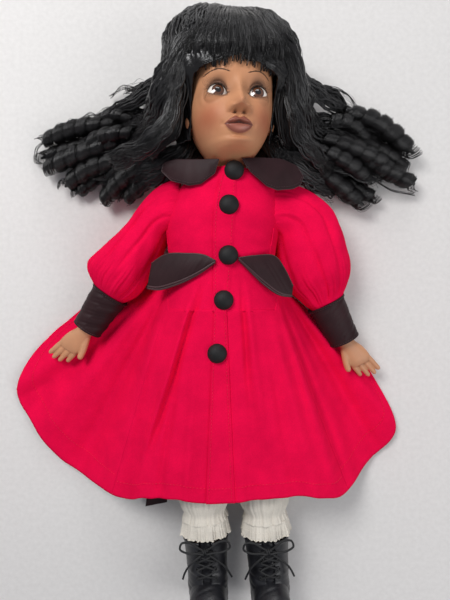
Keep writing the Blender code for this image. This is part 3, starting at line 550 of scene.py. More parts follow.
def face_relief(x, y):
    """Rises and hollows of the face over the plain egg shape: the sum of bell-shaped features."""
    ax = np.abs(x)
    rise = 1.6 * bell(ax - 15.0, 7.5) * bell(y - 109.5, 7.5)
    rise += 0.9 * bell(ax - 12.0, 9.0) * bell(y - 136.0, 3.6)
    rise -= 2.6 * bell(ax - 11.5, 6.0) * bell(y - 126.0, 5.5)
    rise -= 1.0 * bell(ax - 5.5, 3.5) * bell(y - 126.0, 5.0)
    bridge = step(y, 137.0, 125.0)
    rise += 2.6 * bell(x, 3.3) * bridge * step(y, 112.0, 118.0)
    rise += (6.3 * bell(x, 4.0 + 0.16 * np.clip(y - 112.0, 0.0, 6.0)) * step(y, 130.0, 114.8) ** 1.5
             * step(y, 111.2, 114.0))
    rise += 2.3 * bell(x, 4.2) * bell(y - 114.6, 3.4) * step(y, 110.6, 113.0)
    rise += 3.1 * bell(ax - 5.1, 2.0) * bell(y - 113.4, 2.4) * step(y, 110.4, 112.2)
    rise -= 1.9 * bell(ax - 2.7, 1.3) * bell(y - 111.3, 0.9)
    rise -= 0.5 * bell(x, 1.3) * bell(y - 109.8, 1.6)
    rise += 0.5 * bell(ax - 2.2, 0.9) * bell(y - 109.8, 1.9)
    top, parting, bottom = lip_lines(x)
    inside_mouth = step(1.0 - np.abs(x / MOUTH_HALF), 0.0, 0.35)
    rise += 1.3 * bell(x, 9.0) * bell(y - MOUTH_Y, 6.0)
    upper_lip = (y - (top + parting) / 2.0) / (0.55 * (top - parting) + 0.3)
    rise += 1.5 * inside_mouth * np.clip(1.0 - upper_lip ** 2, 0.0, 1.0) ** 0.6
    lower_lip = (y - (bottom + parting) / 2.0) / (0.53 * (parting - bottom) + 0.3)
    rise += 1.9 * inside_mouth * np.clip(1.0 - lower_lip ** 2, 0.0, 1.0) ** 0.6
    rise -= 1.9 * inside_mouth * bell(y - parting, 0.55 + 0.35 * bell(x, 2.4))
    rise -= 0.9 * bell(x, 6.0) * bell(y - 98.2, 1.3)
    rise += 1.5 * bell(x, 6.5) * bell(y - 95.2, 3.0)
    rise -= 0.5 * bell(ax - 9.8, 1.2) * bell(y - MOUTH_Y, 1.4)
    return rise


def eye_ball(x, y):
    """Height of the eyeball's front over the bed, and how far a point is from the eye's middle."""
    away = np.hypot(np.abs(x) - EYE_X, y - EYE_CENTRE[0])
    return EYE_CENTRE[1] + np.sqrt(np.clip(EYE_RADIUS ** 2 - away ** 2, 0.0, None)), away


def face_height(x, y, lids=True):
    """z of the face's front at x and y; round an eye the lids lie over its ball."""
    half, mid, deep = head_section(y)
    share = np.clip(1.0 - np.abs(x / half) ** HEAD_POWER, 0.0, 1.0) ** (1.0 / HEAD_POWER)
    z = mid + deep * share + face_relief(x, y) * step(share, 0.25, 0.6)
    ball, away = eye_ball(x, y)
    z = z + 0.7 * np.log1p(np.exp(np.clip((ball + 0.6 - z) / 0.7, -30.0, 30.0))) * step(away, 11.5, 7.0)
    upper, lower, along = lid_lines(x)
    fold = bell(y - upper - 2.1, 0.55) * dome(along / 1.15, 0.5)
    z = z - 0.55 * fold
    if lids:
        gap = np.minimum(upper - y, y - lower)
        opening = step(gap, -0.12, 0.3) * (away < 7.6)
        z = z + (ball - 1.3 - z) * opening
    return z


def face_paint(x, y, skin):
    """Colours fired on the porcelain: skin, blush, lips, smoky lids and painted lashes; with painted shade in
    the lid crease, lid opening, lip parting and nostrils, and a painted highlight on the lower lip.
    """
    def over(colour, share):
        return paint + (np.asarray(colour) - paint) * np.clip(share, 0.0, 1.0)[..., None]
    ax = np.abs(x)
    paint = np.broadcast_to(np.asarray(skin, float), (*x.shape, 3)).copy()
    paint = over(tint(skin, 1.1), 0.8 * step(y, 128.0, 142.0) * bell(x, 20.0))
    paint = over((0.40, 0.105, 0.05), 0.72 * bell(ax - 17.5, 8.5) * bell(y - 110.0, 8.5))
    paint = over((0.38, 0.12, 0.06), 0.35 * bell(x, 6.0) * bell(y - 95.5, 3.2))
    paint = over((0.37, 0.12, 0.06), 0.3 * bell(x, 4.0) * bell(y - 114.0, 4.0))
    upper, lower, along = lid_lines(x)
    shadow = bell(y - upper - 1.6, 3.2) * bell(along, 1.25)
    paint = over((0.075, 0.032, 0.022), 0.72 * shadow)
    paint = over((0.02, 0.011, 0.009), 0.95 * bell(y - upper - 0.35, 0.5) * dome(along / 1.2, 0.3))
    # Painted shade along the lid crease, on the same line as the fold cut in face_height.
    paint = over((0.10, 0.035, 0.02), 0.55 * bell(y - upper - 2.1, 0.45) * dome(along / 1.15, 0.4))
    paint = over((0.05, 0.02, 0.014), 0.7 * bell(y - lower + 0.35, 0.45) * dome(along / 1.12, 0.3))
    # Painted shade: the lid's cut edge and the hollow behind it, between lid and eyeball, are darkened.
    inside = np.minimum(upper - y, y - lower)
    paint = over((0.03, 0.012, 0.01), step(inside, -0.1, 0.25))
    top, parting, bottom = lip_lines(x)
    lips = step(top - y, -0.25, 0.25) * step(y - bottom, -0.25, 0.3) * (ax < MOUTH_HALF)
    paint = over((0.27, 0.085, 0.058), lips)
    # Painted highlight: a lighter patch in the middle of the lower lip.
    paint = over((0.5, 0.2, 0.15), 0.7 * lips * bell(y - bottom - 2.6, 1.2) * bell(x, 4.0))
    # Painted shade in the parting between the lips.
    paint = over((0.022, 0.006, 0.005),
                 0.95 * lips * bell(y - parting, 0.35 + 0.6 * bell(x, 2.2)) * dome(x / MOUTH_HALF, 0.3))
    # Painted shade in the nostril hollows.
    paint = over((0.05, 0.016, 0.010), 0.85 * bell(ax - 2.7, 1.0) * bell(y - 111.5, 0.8))
    gloss = 0.1 + 0.9 * lips
    return np.concatenate([paint, np.ones((*x.shape, 1))], -1), gloss


def build_head(colours):
    """The head as rings up from the neck, closest together over the face, with an ear at each side."""
    skin = tuple(colours.skin)
    y = np.concatenate([np.linspace(80.8, 90.0, 16)[:-1], np.linspace(90.0, 140.0, 152)[:-1],
                        np.linspace(140.0, 184.0, 30)])
    angles = np.concatenate([angles_round(220, -72.0, 144.0), angles_round(48, 76.0, 208.0)])
    half, mid, deep = head_section(y)
    grid = oval_grid(y, 0.0 * y, mid, half, deep, angles, HEAD_POWER)
    x, rows = grid[..., 0], grid[..., 1]
    front = (np.cos(angles)[None, :] > 0.0) & (rows > 89.0)
    grid[..., 2] = np.where(front, face_height(x, rows), grid[..., 2])
    paint, gloss = face_paint(x, rows, skin)
    plain = np.concatenate([np.broadcast_to(np.asarray(skin), (*x.shape, 3)), np.ones((*x.shape, 1))], -1)
    paint = np.where(front[..., None], paint, plain)
    shape = Shape().add(turn_head(grid), closed=True, flip=True, paint=paint,
                        gloss=np.where(front, gloss, 0.35))
    for side in (-1, 1):
        shape.add(turn_head(ear_grid(side)), flip=side < 0,
                  paint=np.broadcast_to((*tint(skin, 0.95), 1.0), (18, 34, 4)), gloss=np.full((18, 34), 0.35))
    add_piece("head_porcelain", shape.build("head_porcelain"), "porcelain", "head",
              ("head",))


def ear_grid(side):
    """An ear: a rim that curls round a hollow, its section a circle swept along a C."""
    turn = np.linspace(0.0, 1.0, 34)
    angle = np.radians(-150.0 + 285.0 * turn)
    y = 118.5 + 6.8 * np.sin(angle)
    z = 45.0 + 3.6 * np.cos(angle)
    x = side * (26.9 + 0.6 * np.cos(angle))
    path = np.stack([x + 0.0 * y, y, z], -1)
    radius = 0.6 + 1.7 * np.sin(np.pi * turn) ** 0.6
    return tube_grid(path, radius, 18, up=(1.0, 0.0, 0.0), caps=False).transpose(1, 0, 2)


def build_eyes(colours):
    """Glass eyes: balls painted in rings about the gaze, with fine spokes in the iris."""
    rim, iris = np.array((0.045, 0.016, 0.014)), np.asarray(tuple(colours.iris))
    for name, side in SIDES:
        polar = np.concatenate([np.linspace(0.0, 34.0, 60)[:-1], np.linspace(34.0, 180.0, 40)])
        around = angles_round(96)
        a, b = np.meshgrid(np.radians(polar), around, indexing="ij")
        ball = np.stack([np.sin(a) * np.cos(b), np.sin(a) * np.sin(b), np.cos(a)], -1) * (EYE_RADIUS - 0.05)
        bulge = 1.0 + 0.03 * bell(np.degrees(a), 24.0)
        ball = turn_x(ball * bulge[..., None], -10.5)
        out = EYE_RADIUS * np.sin(a)
        spokes = 0.72 + 0.4 * np.abs(ripple(b * 13.0, 5)) + 0.12 * ripple(b * 41.0, 9)
        paint = np.broadcast_to((0.86, 0.79, 0.72), (*a.shape, 3)).copy()
        for colour, radius in ((rim, 3.75), (iris, 3.25), ((0.004, 0.003, 0.003), 1.8)):
            share = step(radius - out, -0.12, 0.12)[..., None] * (a < 1.5)[..., None]
            wanted = np.asarray(colour) * (spokes[..., None] if colour is iris else 1.0)
            paint = paint + (wanted - paint) * share
        paint = np.concatenate([paint, np.ones((*a.shape, 1))], -1)
        at = np.array((side * EYE_X, *EYE_CENTRE))
        shape = Shape().add(turn_head(ball + at), closed=True, paint=paint)
        piece_name = "glass_eye_" + name
        add_piece(piece_name, shape.build(piece_name), "eye", "head", ("eye_" + name,))


def on_face(points, lift):
    """Puts x, y points on the face, lifted a little."""
    return np.concatenate([points, (face_height(points[:, 0], points[:, 1], lids=False) + lift)[:, None]], 1)


def build_lashes():
    """Real lashes fanned out from each upper lid, and fine ones painted round both lids."""
    for name, side in SIDES:
        shape = Shape()
        rng = np.random.default_rng(11)
        for share in np.linspace(-0.96, 0.99, 46):
            x = side * (EYE_X + EYE_HALF * share)
            upper, _, _ = lid_lines(np.array([x]))
            root = np.array([x, upper[0] - 0.1])
            z = eye_ball(root[:1], root[1:])[0][0] + 0.55
            reach = (2.5 + 2.2 * (share + 0.5) * 0.55) * rng.uniform(0.85, 1.1)
            fan = side * (0.25 + 0.75 * share)
            t = np.linspace(0.0, 1.0, 6)[:, None]
            path = np.array([x, root[1], z]) + t * np.array([fan * reach, 0.15 * reach, reach * 0.9])
            path = path + t * t * np.array([0.0, 0.75 * reach, -0.15 * reach])
            shape.add(turn_head(tube_grid(path, 0.1 * (1.0 - 0.8 * t[:, 0]), 4)), closed=True)
        for share in np.linspace(-0.85, 1.05, 21):
            x = side * (EYE_X + EYE_HALF * share)
            upper, lower, _ = lid_lines(np.array([side * (EYE_X + EYE_HALF * min(share, 0.98))]))
            for start, reach in ((lower[0] - 0.35, -1.5 - 0.5 * share),
                                 (upper[0] + 0.3, 1.2 + 1.4 * max(share, 0.0))):
                t = np.linspace(0.0, 1.0, 6)
                flat = np.stack([x + side * share * 0.9 * t * abs(reach), start + reach * t], -1)
                shape.add(turn_head(tube_grid(on_face(flat, 0.03), 0.13 * (1.0 - 0.85 * t), 4)), closed=True)
        piece = "eyelashes_" + name
        add_piece(piece, shape.build(piece), "lash", "head")


def build_brows():
    """Each brow is a fan of fine strokes along an arch."""
    for name, side in SIDES:
        shape = Shape()
        rng = np.random.default_rng(23)
        for share in np.linspace(0.0, 1.0, 80):
            along = side * (5.2 + 14.2 * share)
            height = (134.0 + 2.9 * math.sin(math.pi * min(1.0, 0.12 + 0.74 * share))
                      + rng.uniform(-0.28, 0.28))
            t = np.linspace(0.0, 1.0, 5)
            reach = 2.3 * (1.0 - 0.35 * share)
            flat = np.stack([along + side * reach * t, height + (0.55 - 0.9 * share) * reach * t * 0.5], -1)
            shape.add(turn_head(tube_grid(on_face(flat, 0.02), 0.12 * np.sin(np.pi * (0.12 + 0.8 * t)), 4)),
                      closed=True)
        piece = "eyebrow_" + name
        add_piece(piece, shape.build(piece), "brow", "head")


# ------------------------------------------------------------------ wig

def ringlet(shape, points, radius, turns, seed, shares=(0.45, 0.9, 1.0, 0.95, 0.6), place=None):
    """A sausage curl: a band of strands wound side by side round a path, over a soft core.

    At angle a down the curl a strand at share c across the band, from -1 to 1, runs at the path's
    point plus c times half the pitch along it, plus the radius times 0.70 + 0.30 sqrt(1 - c^2)."""
    place = place or (lambda p: p)
    count = int(turns * 17)
    path = smooth_path(points, count)
    s = np.linspace(0.0, 1.0, count)
    size = radius * through(s, np.linspace(0.0, 1.0, len(shares)), shares)
    tangent, normal, side = frames(path)
    pitch = path_length(path) / turns
    rng = np.random.default_rng(seed)
    strands = 12
    for k in range(strands + 5):
        loose = k >= strands
        c = rng.uniform(-1.0, 1.0) if loose else (k + 0.5) / strands * 2.0 - 1.0
        a = s * turns * TAU + seed + 0.1 * ripple(s * 9.0, seed * 7 + k)
        a = a + (rng.uniform(0.85, 1.1) - 1.0) * 4.0 * s * loose
        reach = 0.70 + 0.30 * math.sqrt(1.0 - c * c) + 0.05 * ripple(s * 14.0, seed * 13 + k)
        reach = reach + loose * rng.uniform(0.02, 0.2) + 0.3 * rng.uniform(-0.6, 1.0) * step(s, 0.86, 1.0)
        out = np.cos(a)[:, None] * side + np.sin(a)[:, None] * normal
        line = path + (size * reach)[:, None] * out + (c * 0.5 * pitch) * tangent
        thin = 0.11 if loose else pitch / strands * 0.66 * (1.0 - 0.6 * step(s, 0.8, 1.0))
        shape.add(place(tube_grid(line, thin, 3 if loose else 4)), closed=True, repeat=(1.0, turns))
    shape.add(place(tube_grid(path, 0.62 * size * (1.0 - 0.6 * step(s, 0.8, 1.0)), 10)), closed=True)


def lock(shape, points, width, thick, seed, wave=0.35, place=None, taper=(0.7, 1.0, 0.9, 0.25), strands=6,
         curl=0.0):
    """A lock: strands side by side across its width, that sway together and each a little alone."""
    place = place or (lambda p: p)
    count = 30
    path = smooth_path(points, count)
    t = np.linspace(0.0, 1.0, count)
    size = through(t, np.linspace(0.0, 1.0, len(taper)), taper)
    _, normal, side = frames(path)
    rng = np.random.default_rng(seed)
    rate = path_length(path) / 24.0 * TAU
    together = curl * np.sin(rate * t + rng.uniform(0.0, TAU)) * step(t, 0.0, 0.45)
    for k in range(strands):
        off = (k + 0.5) / strands * 2.0 - 1.0
        sway = wave * width * 0.22 * ripple(t * 9.0, seed * 31 + k) + together
        lift = thick * (math.sqrt(max(0.0, 1.0 - off * off)) - 0.5) * 0.8 + rng.uniform(-0.2, 0.2) * thick
        middle = path + side * (off * width * 0.5 * size + sway)[:, None] + normal * (lift * size)[:, None]
        radius = np.maximum(0.12, width / strands * 0.72 * size)
        grid = tube_grid(middle, radius, 6, flat=max(0.3, min(1.0, thick / (width / strands * 1.44))))
        shape.add(place(grid), closed=True, repeat=(1.0, path_length(path) / 30.0))
    for k in range(3):
        sway = width * 0.3 * ripple(t * 7.0, seed * 17 + k) + rng.uniform(-0.6, 0.6) * width + together
        middle = path + side * (sway * (0.3 + 0.7 * t))[:, None] + normal * (thick * rng.uniform(0.6, 1.1))
        shape.add(place(tube_grid(middle, 0.12, 3)), closed=True)


CROWN_Y = [104.0, 112.0, 120.0, 130.0, 140.0, 150.0, 160.0, 170.0, 178.0, 184.0, 188.0, 190.0]
CROWN_HALF = [33.0, 35.0, 37.0, 40.0, 43.5, 45.0, 44.0, 39.5, 33.0, 24.0, 14.0, 4.0]
CROWN_FRONT = [55.0, 60.0, 64.5, 72.0, 81.5, 82.5, 81.5, 76.0, 68.5, 59.0, 47.0, 37.0]
CROWN_BACK = [4.0, 3.5, 3.2, 3.2, 3.4, 3.6, 4.0, 6.5, 10.5, 16.0, 22.0, 28.0]


def crown_height(x, y):
    """z of the top of the wig over the head, which follows the head but wider."""
    half, front, back = (through(y, CROWN_Y, v) for v in (CROWN_HALF, CROWN_FRONT, CROWN_BACK))
    share = np.clip(1.0 - np.abs(x / half) ** 2.1, 0.0, 1.0) ** (1.0 / 2.1)
    return (front + back) / 2.0 + (front - back) / 2.0 * share


def build_wig_cap():
    """The wig's cap: rings like the head's, ridged in flowing lines, with the face cut out at its front."""
    y = np.linspace(104.0, 190.0, 120)
    half, front, back = (through(y, CROWN_Y, v) for v in (CROWN_HALF, CROWN_FRONT, CROWN_BACK))
    shape = Shape()
    open_x = 26.5 * np.clip(1.0 - step(y, 136.0, 146.0), 0.0, 1.0)
    open_angle = np.degrees(np.arcsin(np.clip(open_x / half, 0.0, 0.9)))
    share = np.linspace(0.0, 1.0, 240)
    angle = np.radians(open_angle[:, None] + (360.0 - 2.0 * open_angle[:, None]) * share[None, :])
    ridge = 1.0 + 0.022 * ripple(angle * 26.0 + y[:, None] * 0.06, 3) + 0.012 * ripple(angle * 71.0, 4)
    mid, deep = ((front + back) / 2.0)[:, None], ((front - back) / 2.0)[:, None]
    x = half[:, None] * np.sin(angle) * ridge
    z = mid + deep * np.cos(angle) * ridge
    z = np.maximum(z, 2.2)
    x = np.clip(x, -50.5, 50.5)
    grid = np.stack([x, np.broadcast_to(y[:, None], x.shape), z], -1)
    shape.add(turn_head(grid), flip=True, repeat=(5.0, 4.0))
    piece = add_piece("wig_cap", shape.build("wig_cap"), "hair", "head", ("wig_crown",))
    thicken(piece, 1.2)


def build_crown_locks():
    """Locks combed over the cap from its top, and the ragged fringe over the brow, all on the head."""
    combed, fringe = Shape(), Shape()
    rng = np.random.default_rng(41)
    for k in range(54):
        lane = rng.uniform(0.25, 0.95) * (1.0 if k % 2 else -1.0)
        drop = rng.uniform(0.0, 1.0) if abs(lane) > 0.84 else -1.0
        y = np.array([186.5, 178.0, 166.0 - 4.0 * drop, 153.0 - 10.0 * drop, 138.0 - 11.0 * drop])
        half = through(y, CROWN_Y, CROWN_HALF) - 2.5
        x = half * lane * np.array([0.8, 0.9, 1.0, 1.02, 1.0])
        z = crown_height(x, y) + 0.4 - (drop < 0.0) * np.array([0.0, 0.0, 0.0, 0.8, 3.5])
        lock(combed, np.stack([x, y, np.maximum(z, 5.0)], -1), rng.uniform(7.0, 11.0), 1.5, 100 + k, wave=0.7,
             place=turn_head, strands=7, curl=0.6)
    for k, start in enumerate(np.linspace(-25.0, 25.5, 36)):
        drop = 138.5 + 1.8 * rng.uniform(-1.0, 1.0) + 1.6 * math.exp(-(start / 8.0) ** 2)
        sway = rng.uniform(-3.5, 3.5)
        x = np.array([start * 0.4, start * 0.75, start + sway * 0.6, start + sway * 1.2])
        y = np.array([182.0, 166.0, 150.0, drop])
        z = crown_height(x, y) + np.array([0.8, 1.4, 1.4, 0.0])
        z[-1] = face_height(np.clip(x[-1:], -24.0, 24.0), y[-1:], False)[0] + 1.3
        lock(fringe, np.stack([x, y, z], -1), rng.uniform(3.6, 6.0), 1.3, 200 + k, place=turn_head, strands=7,
             taper=(0.8, 1.0, 0.8, 0.1))
    wisps(combed, (
        [(-30.0, 172.0, 40.0), (-47.0, 166.0, 30.0), (-52.5, 158.0, 24.0), (-47.0, 148.0, 28.0)],
        [(36.0, 165.0, 38.0), (49.0, 154.0, 32.0), (49.0, 142.0, 30.0), (43.0, 132.0, 30.0)]), 9, 1.3, 83)
    add_piece("wig_locks", combed.build("wig_locks"), "hair", "head")
    add_piece("wig_fringe", fringe.build("wig_fringe"), "hair", "head")


def hair_between(name, shape):
    """Hair that leaves the head at one side and rests with the torso at its far end; the piece is put on no
    body, its place baked in.
    """
    piece = add_piece(name, shape.build(name), "hair", None)
    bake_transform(piece)


def build_falls():
    """Long wavy locks that flow from the crown, past the face and out over the bed at each side."""
    flicks = {
        "left": ([(-34.0, 158.0, 44.0), (-48.0, 152.0, 34.0), (-62.0, 149.0, 22.0), (-80.0, 154.5, 8.0)],
                 [(-38.0, 150.0, 48.0), (-54.0, 146.0, 36.0), (-72.0, 142.0, 22.0), (-92.0, 134.5, 12.0)],
                 [(-38.0, 146.0, 50.0), (-56.0, 140.0, 38.0), (-80.0, 135.0, 22.0), (-112.0, 124.0, 12.0)]),
        "right": ([(34.0, 160.0, 42.0), (50.0, 148.0, 34.0), (66.0, 147.0, 24.0), (80.0, 141.0, 16.0),
                   (87.0, 128.0, 12.0)],
                  [(36.0, 152.0, 48.0), (50.0, 142.0, 38.0), (64.0, 137.0, 28.0), (78.0, 134.0, 20.0),
                   (92.0, 124.0, 14.0)]),
    }
    for name, side in SIDES:
        fall, frame_locks = Shape(), Shape()
        rng = np.random.default_rng(61 + side)
        for k in range(36):
            share, level = rng.uniform(0.0, 1.0), rng.uniform(-1.0, 1.0)
            spread, jut = rng.uniform(18.0, 50.0), rng.uniform(0.0, 1.0)
            x = side * np.array([14.0 + 14.0 * share, 33.0 + 5.0 * share, 42.0 + 3.0 * jut,
                                 54.0 + 5.0 * jut, 58.0 + spread])
            y = np.array([172.0 - 20.0 * share, 153.0 - 20.0 * share, 137.0 - 24.0 * share,
                          124.0 - 22.0 * share + 6.0 * level,
                          113.0 + 15.0 * level - 14.0 * share - 0.14 * spread])
            low = 14.0 + 13.0 * rng.uniform()
            z = np.array([crown_height(x[:1], y[:1])[0] - 0.6, crown_height(x[1:2], y[1:2])[0],
                          0.0, low + 8.0, low * 0.6])
            z[2] = max(min(z[1] - 8.0, 58.0), 28.0)
            plain = np.stack([x, y, z], -1)
            near = np.array([1.0, 1.0, 1.0, 0.4, 0.0])[:, None]
            lock(fall, turn_head(plain) * near + plain * (1.0 - near), rng.uniform(8.0, 13.0), 2.6,
                 700 + 50 * side + k, wave=0.7, strands=7, taper=(0.5, 1.0, 1.0, 0.8, 0.15),
                 curl=rng.uniform(0.8, 2.4))
        for k in range(11):
            jut = rng.uniform(0.0, 1.0)
            x = side * np.array([25.0, 30.0 + 4.0 * jut, 42.0 + 6.0 * jut, 58.0 + 6.0 * jut,
                                 74.0 + 14.0 * jut])
            y = np.array([114.0, 100.0, 90.0 + 4.0 * jut, 82.0 + 8.0 * jut, 74.0 + 16.0 * jut])
            z = np.array([36.0, 38.0, 36.0, 26.0, 14.0])
            lock(fall, np.stack([x - 4.0, y, z], -1), rng.uniform(9.0, 12.0), 3.0, 1500 + 50 * side + k,
                 wave=0.6,
                 strands=6, taper=(0.7, 1.0, 1.0, 0.9, 0.2), curl=1.2)
        for k in range(5):
            jut = k / 4.0
            x = side * np.array([11.0 + 3.0 * jut, 19.0 + 3.0 * jut, 29.0 + 4.0 * jut, 44.0, 60.0]) - 4.0
            y = np.array([107.0, 98.0 + 2.0 * jut, 92.0 + 2.0 * jut, 86.0, 82.0])
            z = np.array([26.0, 32.0, 35.0, 32.0, 22.0])
            lock(fall, np.stack([x, y, z], -1), 9.0, 3.0, 1550 + 50 * side + k, wave=0.6, strands=6,
                 taper=(0.8, 1.0, 1.0, 0.9, 0.4))
        for k in range(6):
            jut = k / 5.0
            x = side * np.array([33.0, 38.0 + 2.0 * jut, 44.0 + 3.0 * jut, 56.0 + 3.0 * jut,
                                 74.0 + 8.0 * jut])
            y = np.array([134.0, 117.0, 103.0 + 2.0 * jut, 94.0 + 4.0 * jut, 86.0 + 10.0 * jut])
            z = np.array([62.0, 62.0, 59.0, 51.0, 33.0])
            lock(fall, turn_head(np.stack([x, y, z], -1)), rng.uniform(6.0, 9.0), 2.4, 1600 + 50 * side + k,
                 wave=0.6,
                 strands=7, taper=(0.5, 1.0, 1.0, 0.8, 0.15), curl=1.6)
        for k, route in enumerate(flicks[name] * 3):
            moved = np.asarray(route) + rng.uniform(-2.5, 2.5, (len(route), 3)) * (1.0, 1.0, 0.5)
            lock(fall, moved, rng.uniform(6.0, 9.0), 2.0, 1700 + 50 * side + k, wave=0.7, strands=6,
                 taper=(0.7, 1.0, 0.7, 0.06), curl=0.8)
        for k in range(15):
            share = k / 14.0
            inner = (31.5 if side < 0 else 30.0) + 10.0 * share
            x = side * np.array([19.0 + 16.0 * share, inner + 1.0, inner + 2.5, inner + 6.0 + 4.0 * share,
                                 inner + 20.0 + 8.0 * share])
            y = np.array([160.0 - 4.0 * share, 141.0, 123.0, 107.5, 97.0 + 4.0 * rng.uniform(-1.0, 1.0)])
            z = np.array([crown_height(x[:1], y[:1])[0] + 0.4, 66.0 - 9.0 * share, 57.0 - 8.0 * share,
                          50.0 - 8.0 * share, 36.0 - 7.0 * share])
            lock(frame_locks, turn_head(np.stack([x, y, z], -1)), rng.uniform(6.0, 9.0), 2.2,
                 900 + 50 * side + k,
                 wave=0.5, strands=8, taper=(0.6, 1.0, 1.0, 0.9, 0.25), curl=0.7)
        hair_between("wig_fall_" + name, fall)
        piece_name = "wig_face_locks_" + name
        add_piece(piece_name, frame_locks.build(piece_name), "hair", "head")


def curls(shape, rows, seed):
    """Sausage curls over the bed, each given as x, y and z of three points on it, then its radius."""
    for k, (radius, *points) in enumerate(rows):
        ringlet(shape, points, radius * 0.93, path_length(smooth_path(points, 20)) / (radius * 1.3), seed + k)


def wisps(shape, routes, strands, spread, seed):
    """Thin loose hairs that run nearly together along a route."""
    rng = np.random.default_rng(seed)
    for points in routes:
        for _ in range(strands):
            moved = (np.asarray(points, float)
                     + rng.uniform(-spread, spread, (len(points), 3)) * (1.0, 1.0, 0.6))
            moved[:, 2] = np.maximum(moved[:, 2], 1.2)
            shape.add(tube_grid(smooth_path(moved, 50), rng.uniform(0.1, 0.2), 3), closed=True)


def build_tresses():
    """The curls that lie on the bed at each side of the head, over a soft mat of hair."""
    left, right = Shape(), Shape()
    curls(left, (
        (7.0, (-84.0, 126.0, 20.0), (-118.0, 122.0, 15.0), (-141.0, 115.5, 8.4)),
        (7.6, (-82.0, 112.0, 23.0), (-112.0, 104.0, 17.0), (-138.5, 95.5, 9.0)),
        (7.4, (-78.0, 100.0, 22.0), (-104.0, 94.0, 16.0), (-124.0, 83.0, 8.6)),
        (7.6, (-60.0, 97.0, 26.0), (-78.0, 87.0, 20.0), (-96.0, 72.0, 9.0)),
        (6.4, (-50.0, 93.0, 28.0), (-62.0, 85.0, 23.0), (-80.0, 72.0, 10.0)),
        (6.6, (-92.0, 118.0, 12.0), (-120.0, 110.0, 9.0), (-142.0, 104.0, 7.6)),
        (6.2, (-70.0, 126.0, 24.0), (-88.0, 131.0, 18.0), (-104.0, 124.0, 9.0)),
        (6.6, (-70.0, 116.0, 30.0), (-90.0, 115.0, 24.0), (-108.0, 110.0, 18.0)),
        (5.6, (-96.0, 92.0, 10.0), (-108.0, 84.0, 8.0), (-117.0, 78.0, 6.6))), 500)
    curls(right, (
        (8.0, (78.0, 134.0, 22.0), (104.0, 126.0, 16.0), (131.0, 107.0, 9.4)),
        (7.8, (82.0, 104.0, 20.0), (108.0, 95.0, 14.0), (131.5, 84.5, 9.2)),
        (7.4, (62.0, 112.0, 28.0), (82.0, 107.0, 24.0), (108.0, 98.0, 18.0)),
        (7.6, (50.0, 95.0, 27.0), (70.0, 85.0, 19.0), (94.0, 69.5, 9.0)),
        (6.8, (58.0, 104.0, 31.0), (76.0, 98.0, 25.0), (98.0, 86.0, 14.0)),
        (6.6, (62.0, 124.0, 26.0), (80.0, 126.0, 20.0), (98.0, 114.0, 13.0)),
        (6.4, (86.0, 116.0, 12.0), (110.0, 108.0, 9.0), (127.0, 97.0, 7.4)),
        (5.8, (80.0, 88.0, 12.0), (92.0, 80.0, 9.0), (104.0, 74.5, 6.8))), 600)
    wisps(left, (
        [(-50.0, 150.0, 30.0), (-66.0, 151.0, 18.0), (-84.0, 156.0, 6.0), (-92.0, 150.0, 4.0)],
        [(-136.0, 118.0, 8.0), (-146.5, 112.0, 5.0), (-147.0, 103.0, 4.0), (-140.0, 100.0, 6.0)],
        [(-96.0, 130.0, 12.0), (-104.0, 136.0, 9.0), (-116.0, 131.0, 8.0)],
        [(-60.0, 128.0, 28.0), (-86.0, 132.0, 20.0), (-128.0, 124.0, 9.0)]), 9, 1.3, 81)
    wisps(right, (
        [(50.0, 138.0, 30.0), (60.0, 149.0, 24.0), (72.0, 151.0, 18.0), (84.0, 145.0, 14.0),
         (90.0, 133.0, 12.0)],
        [(54.0, 140.0, 24.0), (66.0, 143.0, 18.0), (78.0, 140.0, 14.0), (82.0, 128.0, 12.0)],
        [(60.0, 120.0, 30.0), (92.0, 122.0, 20.0), (124.0, 112.0, 10.0)],
        [(96.0, 90.0, 14.0), (116.0, 80.0, 9.0), (132.0, 78.0, 6.0)]), 9, 1.3, 82)
    for shape, side, inner in ((left, -1.0, 56.0), (right, 1.0, 50.0)):
        rng = np.random.default_rng(71 + int(side))
        for k in range(20):
            x0, y0 = side * inner, rng.uniform(98.0, 132.0)
            reach = rng.uniform(30.0, 66.0)
            t = np.linspace(0.0, 1.0, 6)
            x = x0 + side * reach * t
            y = y0 + (y0 - 116.0) * 0.15 * t - (10.0 + 8.0 * rng.uniform()) * t * t
            z = np.maximum(3.0, rng.uniform(8.0, 24.0) * (1.0 - t ** 1.6) + 3.0)
            lock(shape, np.stack([x, y, z], -1), rng.uniform(8.0, 12.0), 2.6, 700 + k, wave=0.8, strands=6)
    add_piece("wig_tress_left", left.build("wig_tress_left"), "hair", "torso",
              ("hair_tress_left",))
    add_piece("wig_tress_right", right.build("wig_tress_right"), "hair", "torso",
              ("hair_tress_right",))


# ------------------------------------------------------------------ coat

# Oval sections of the bodice: y, centre x, centre z, half width, half depth
BODICE = np.array([
    (-8.0, -9.0, 30.0, 41.0, 28.0), (8.0, -9.0, 30.0, 38.0, 27.5), (24.0, -9.0, 30.5, 35.5, 27.0),
    (42.0, -9.0, 32.0, 37.5, 29.0), (58.0, -8.0, 33.0, 38.0, 29.0), (70.0, -6.5, 34.0, 35.0, 25.0),
    (76.0, -5.5, 36.5, 31.0, 22.5), (81.0, -5.0, 38.5, 24.0, 19.5), (85.5, -5.0, 40.0, 15.0, 16.8)])
PLACKET = -8.5             # degrees round the bodice from its front, of the placket's outer edge
SIDE_SEAM = 101.5
CLOTH = 1.3


def bodice_point(angle, y, lift=0.0):
    """Point on the bodice at an angle in degrees round from its front and a height along the doll."""
    x, z, half_x, half_z = (through(y, BODICE[:, 0], BODICE[:, k]) for k in (1, 2, 3, 4))
    turn = np.radians(angle)
    return np.stack([x + (half_x + lift) * np.sin(turn), y + 0.0 * turn,
                     z + (half_z + lift) * np.cos(turn)], -1)


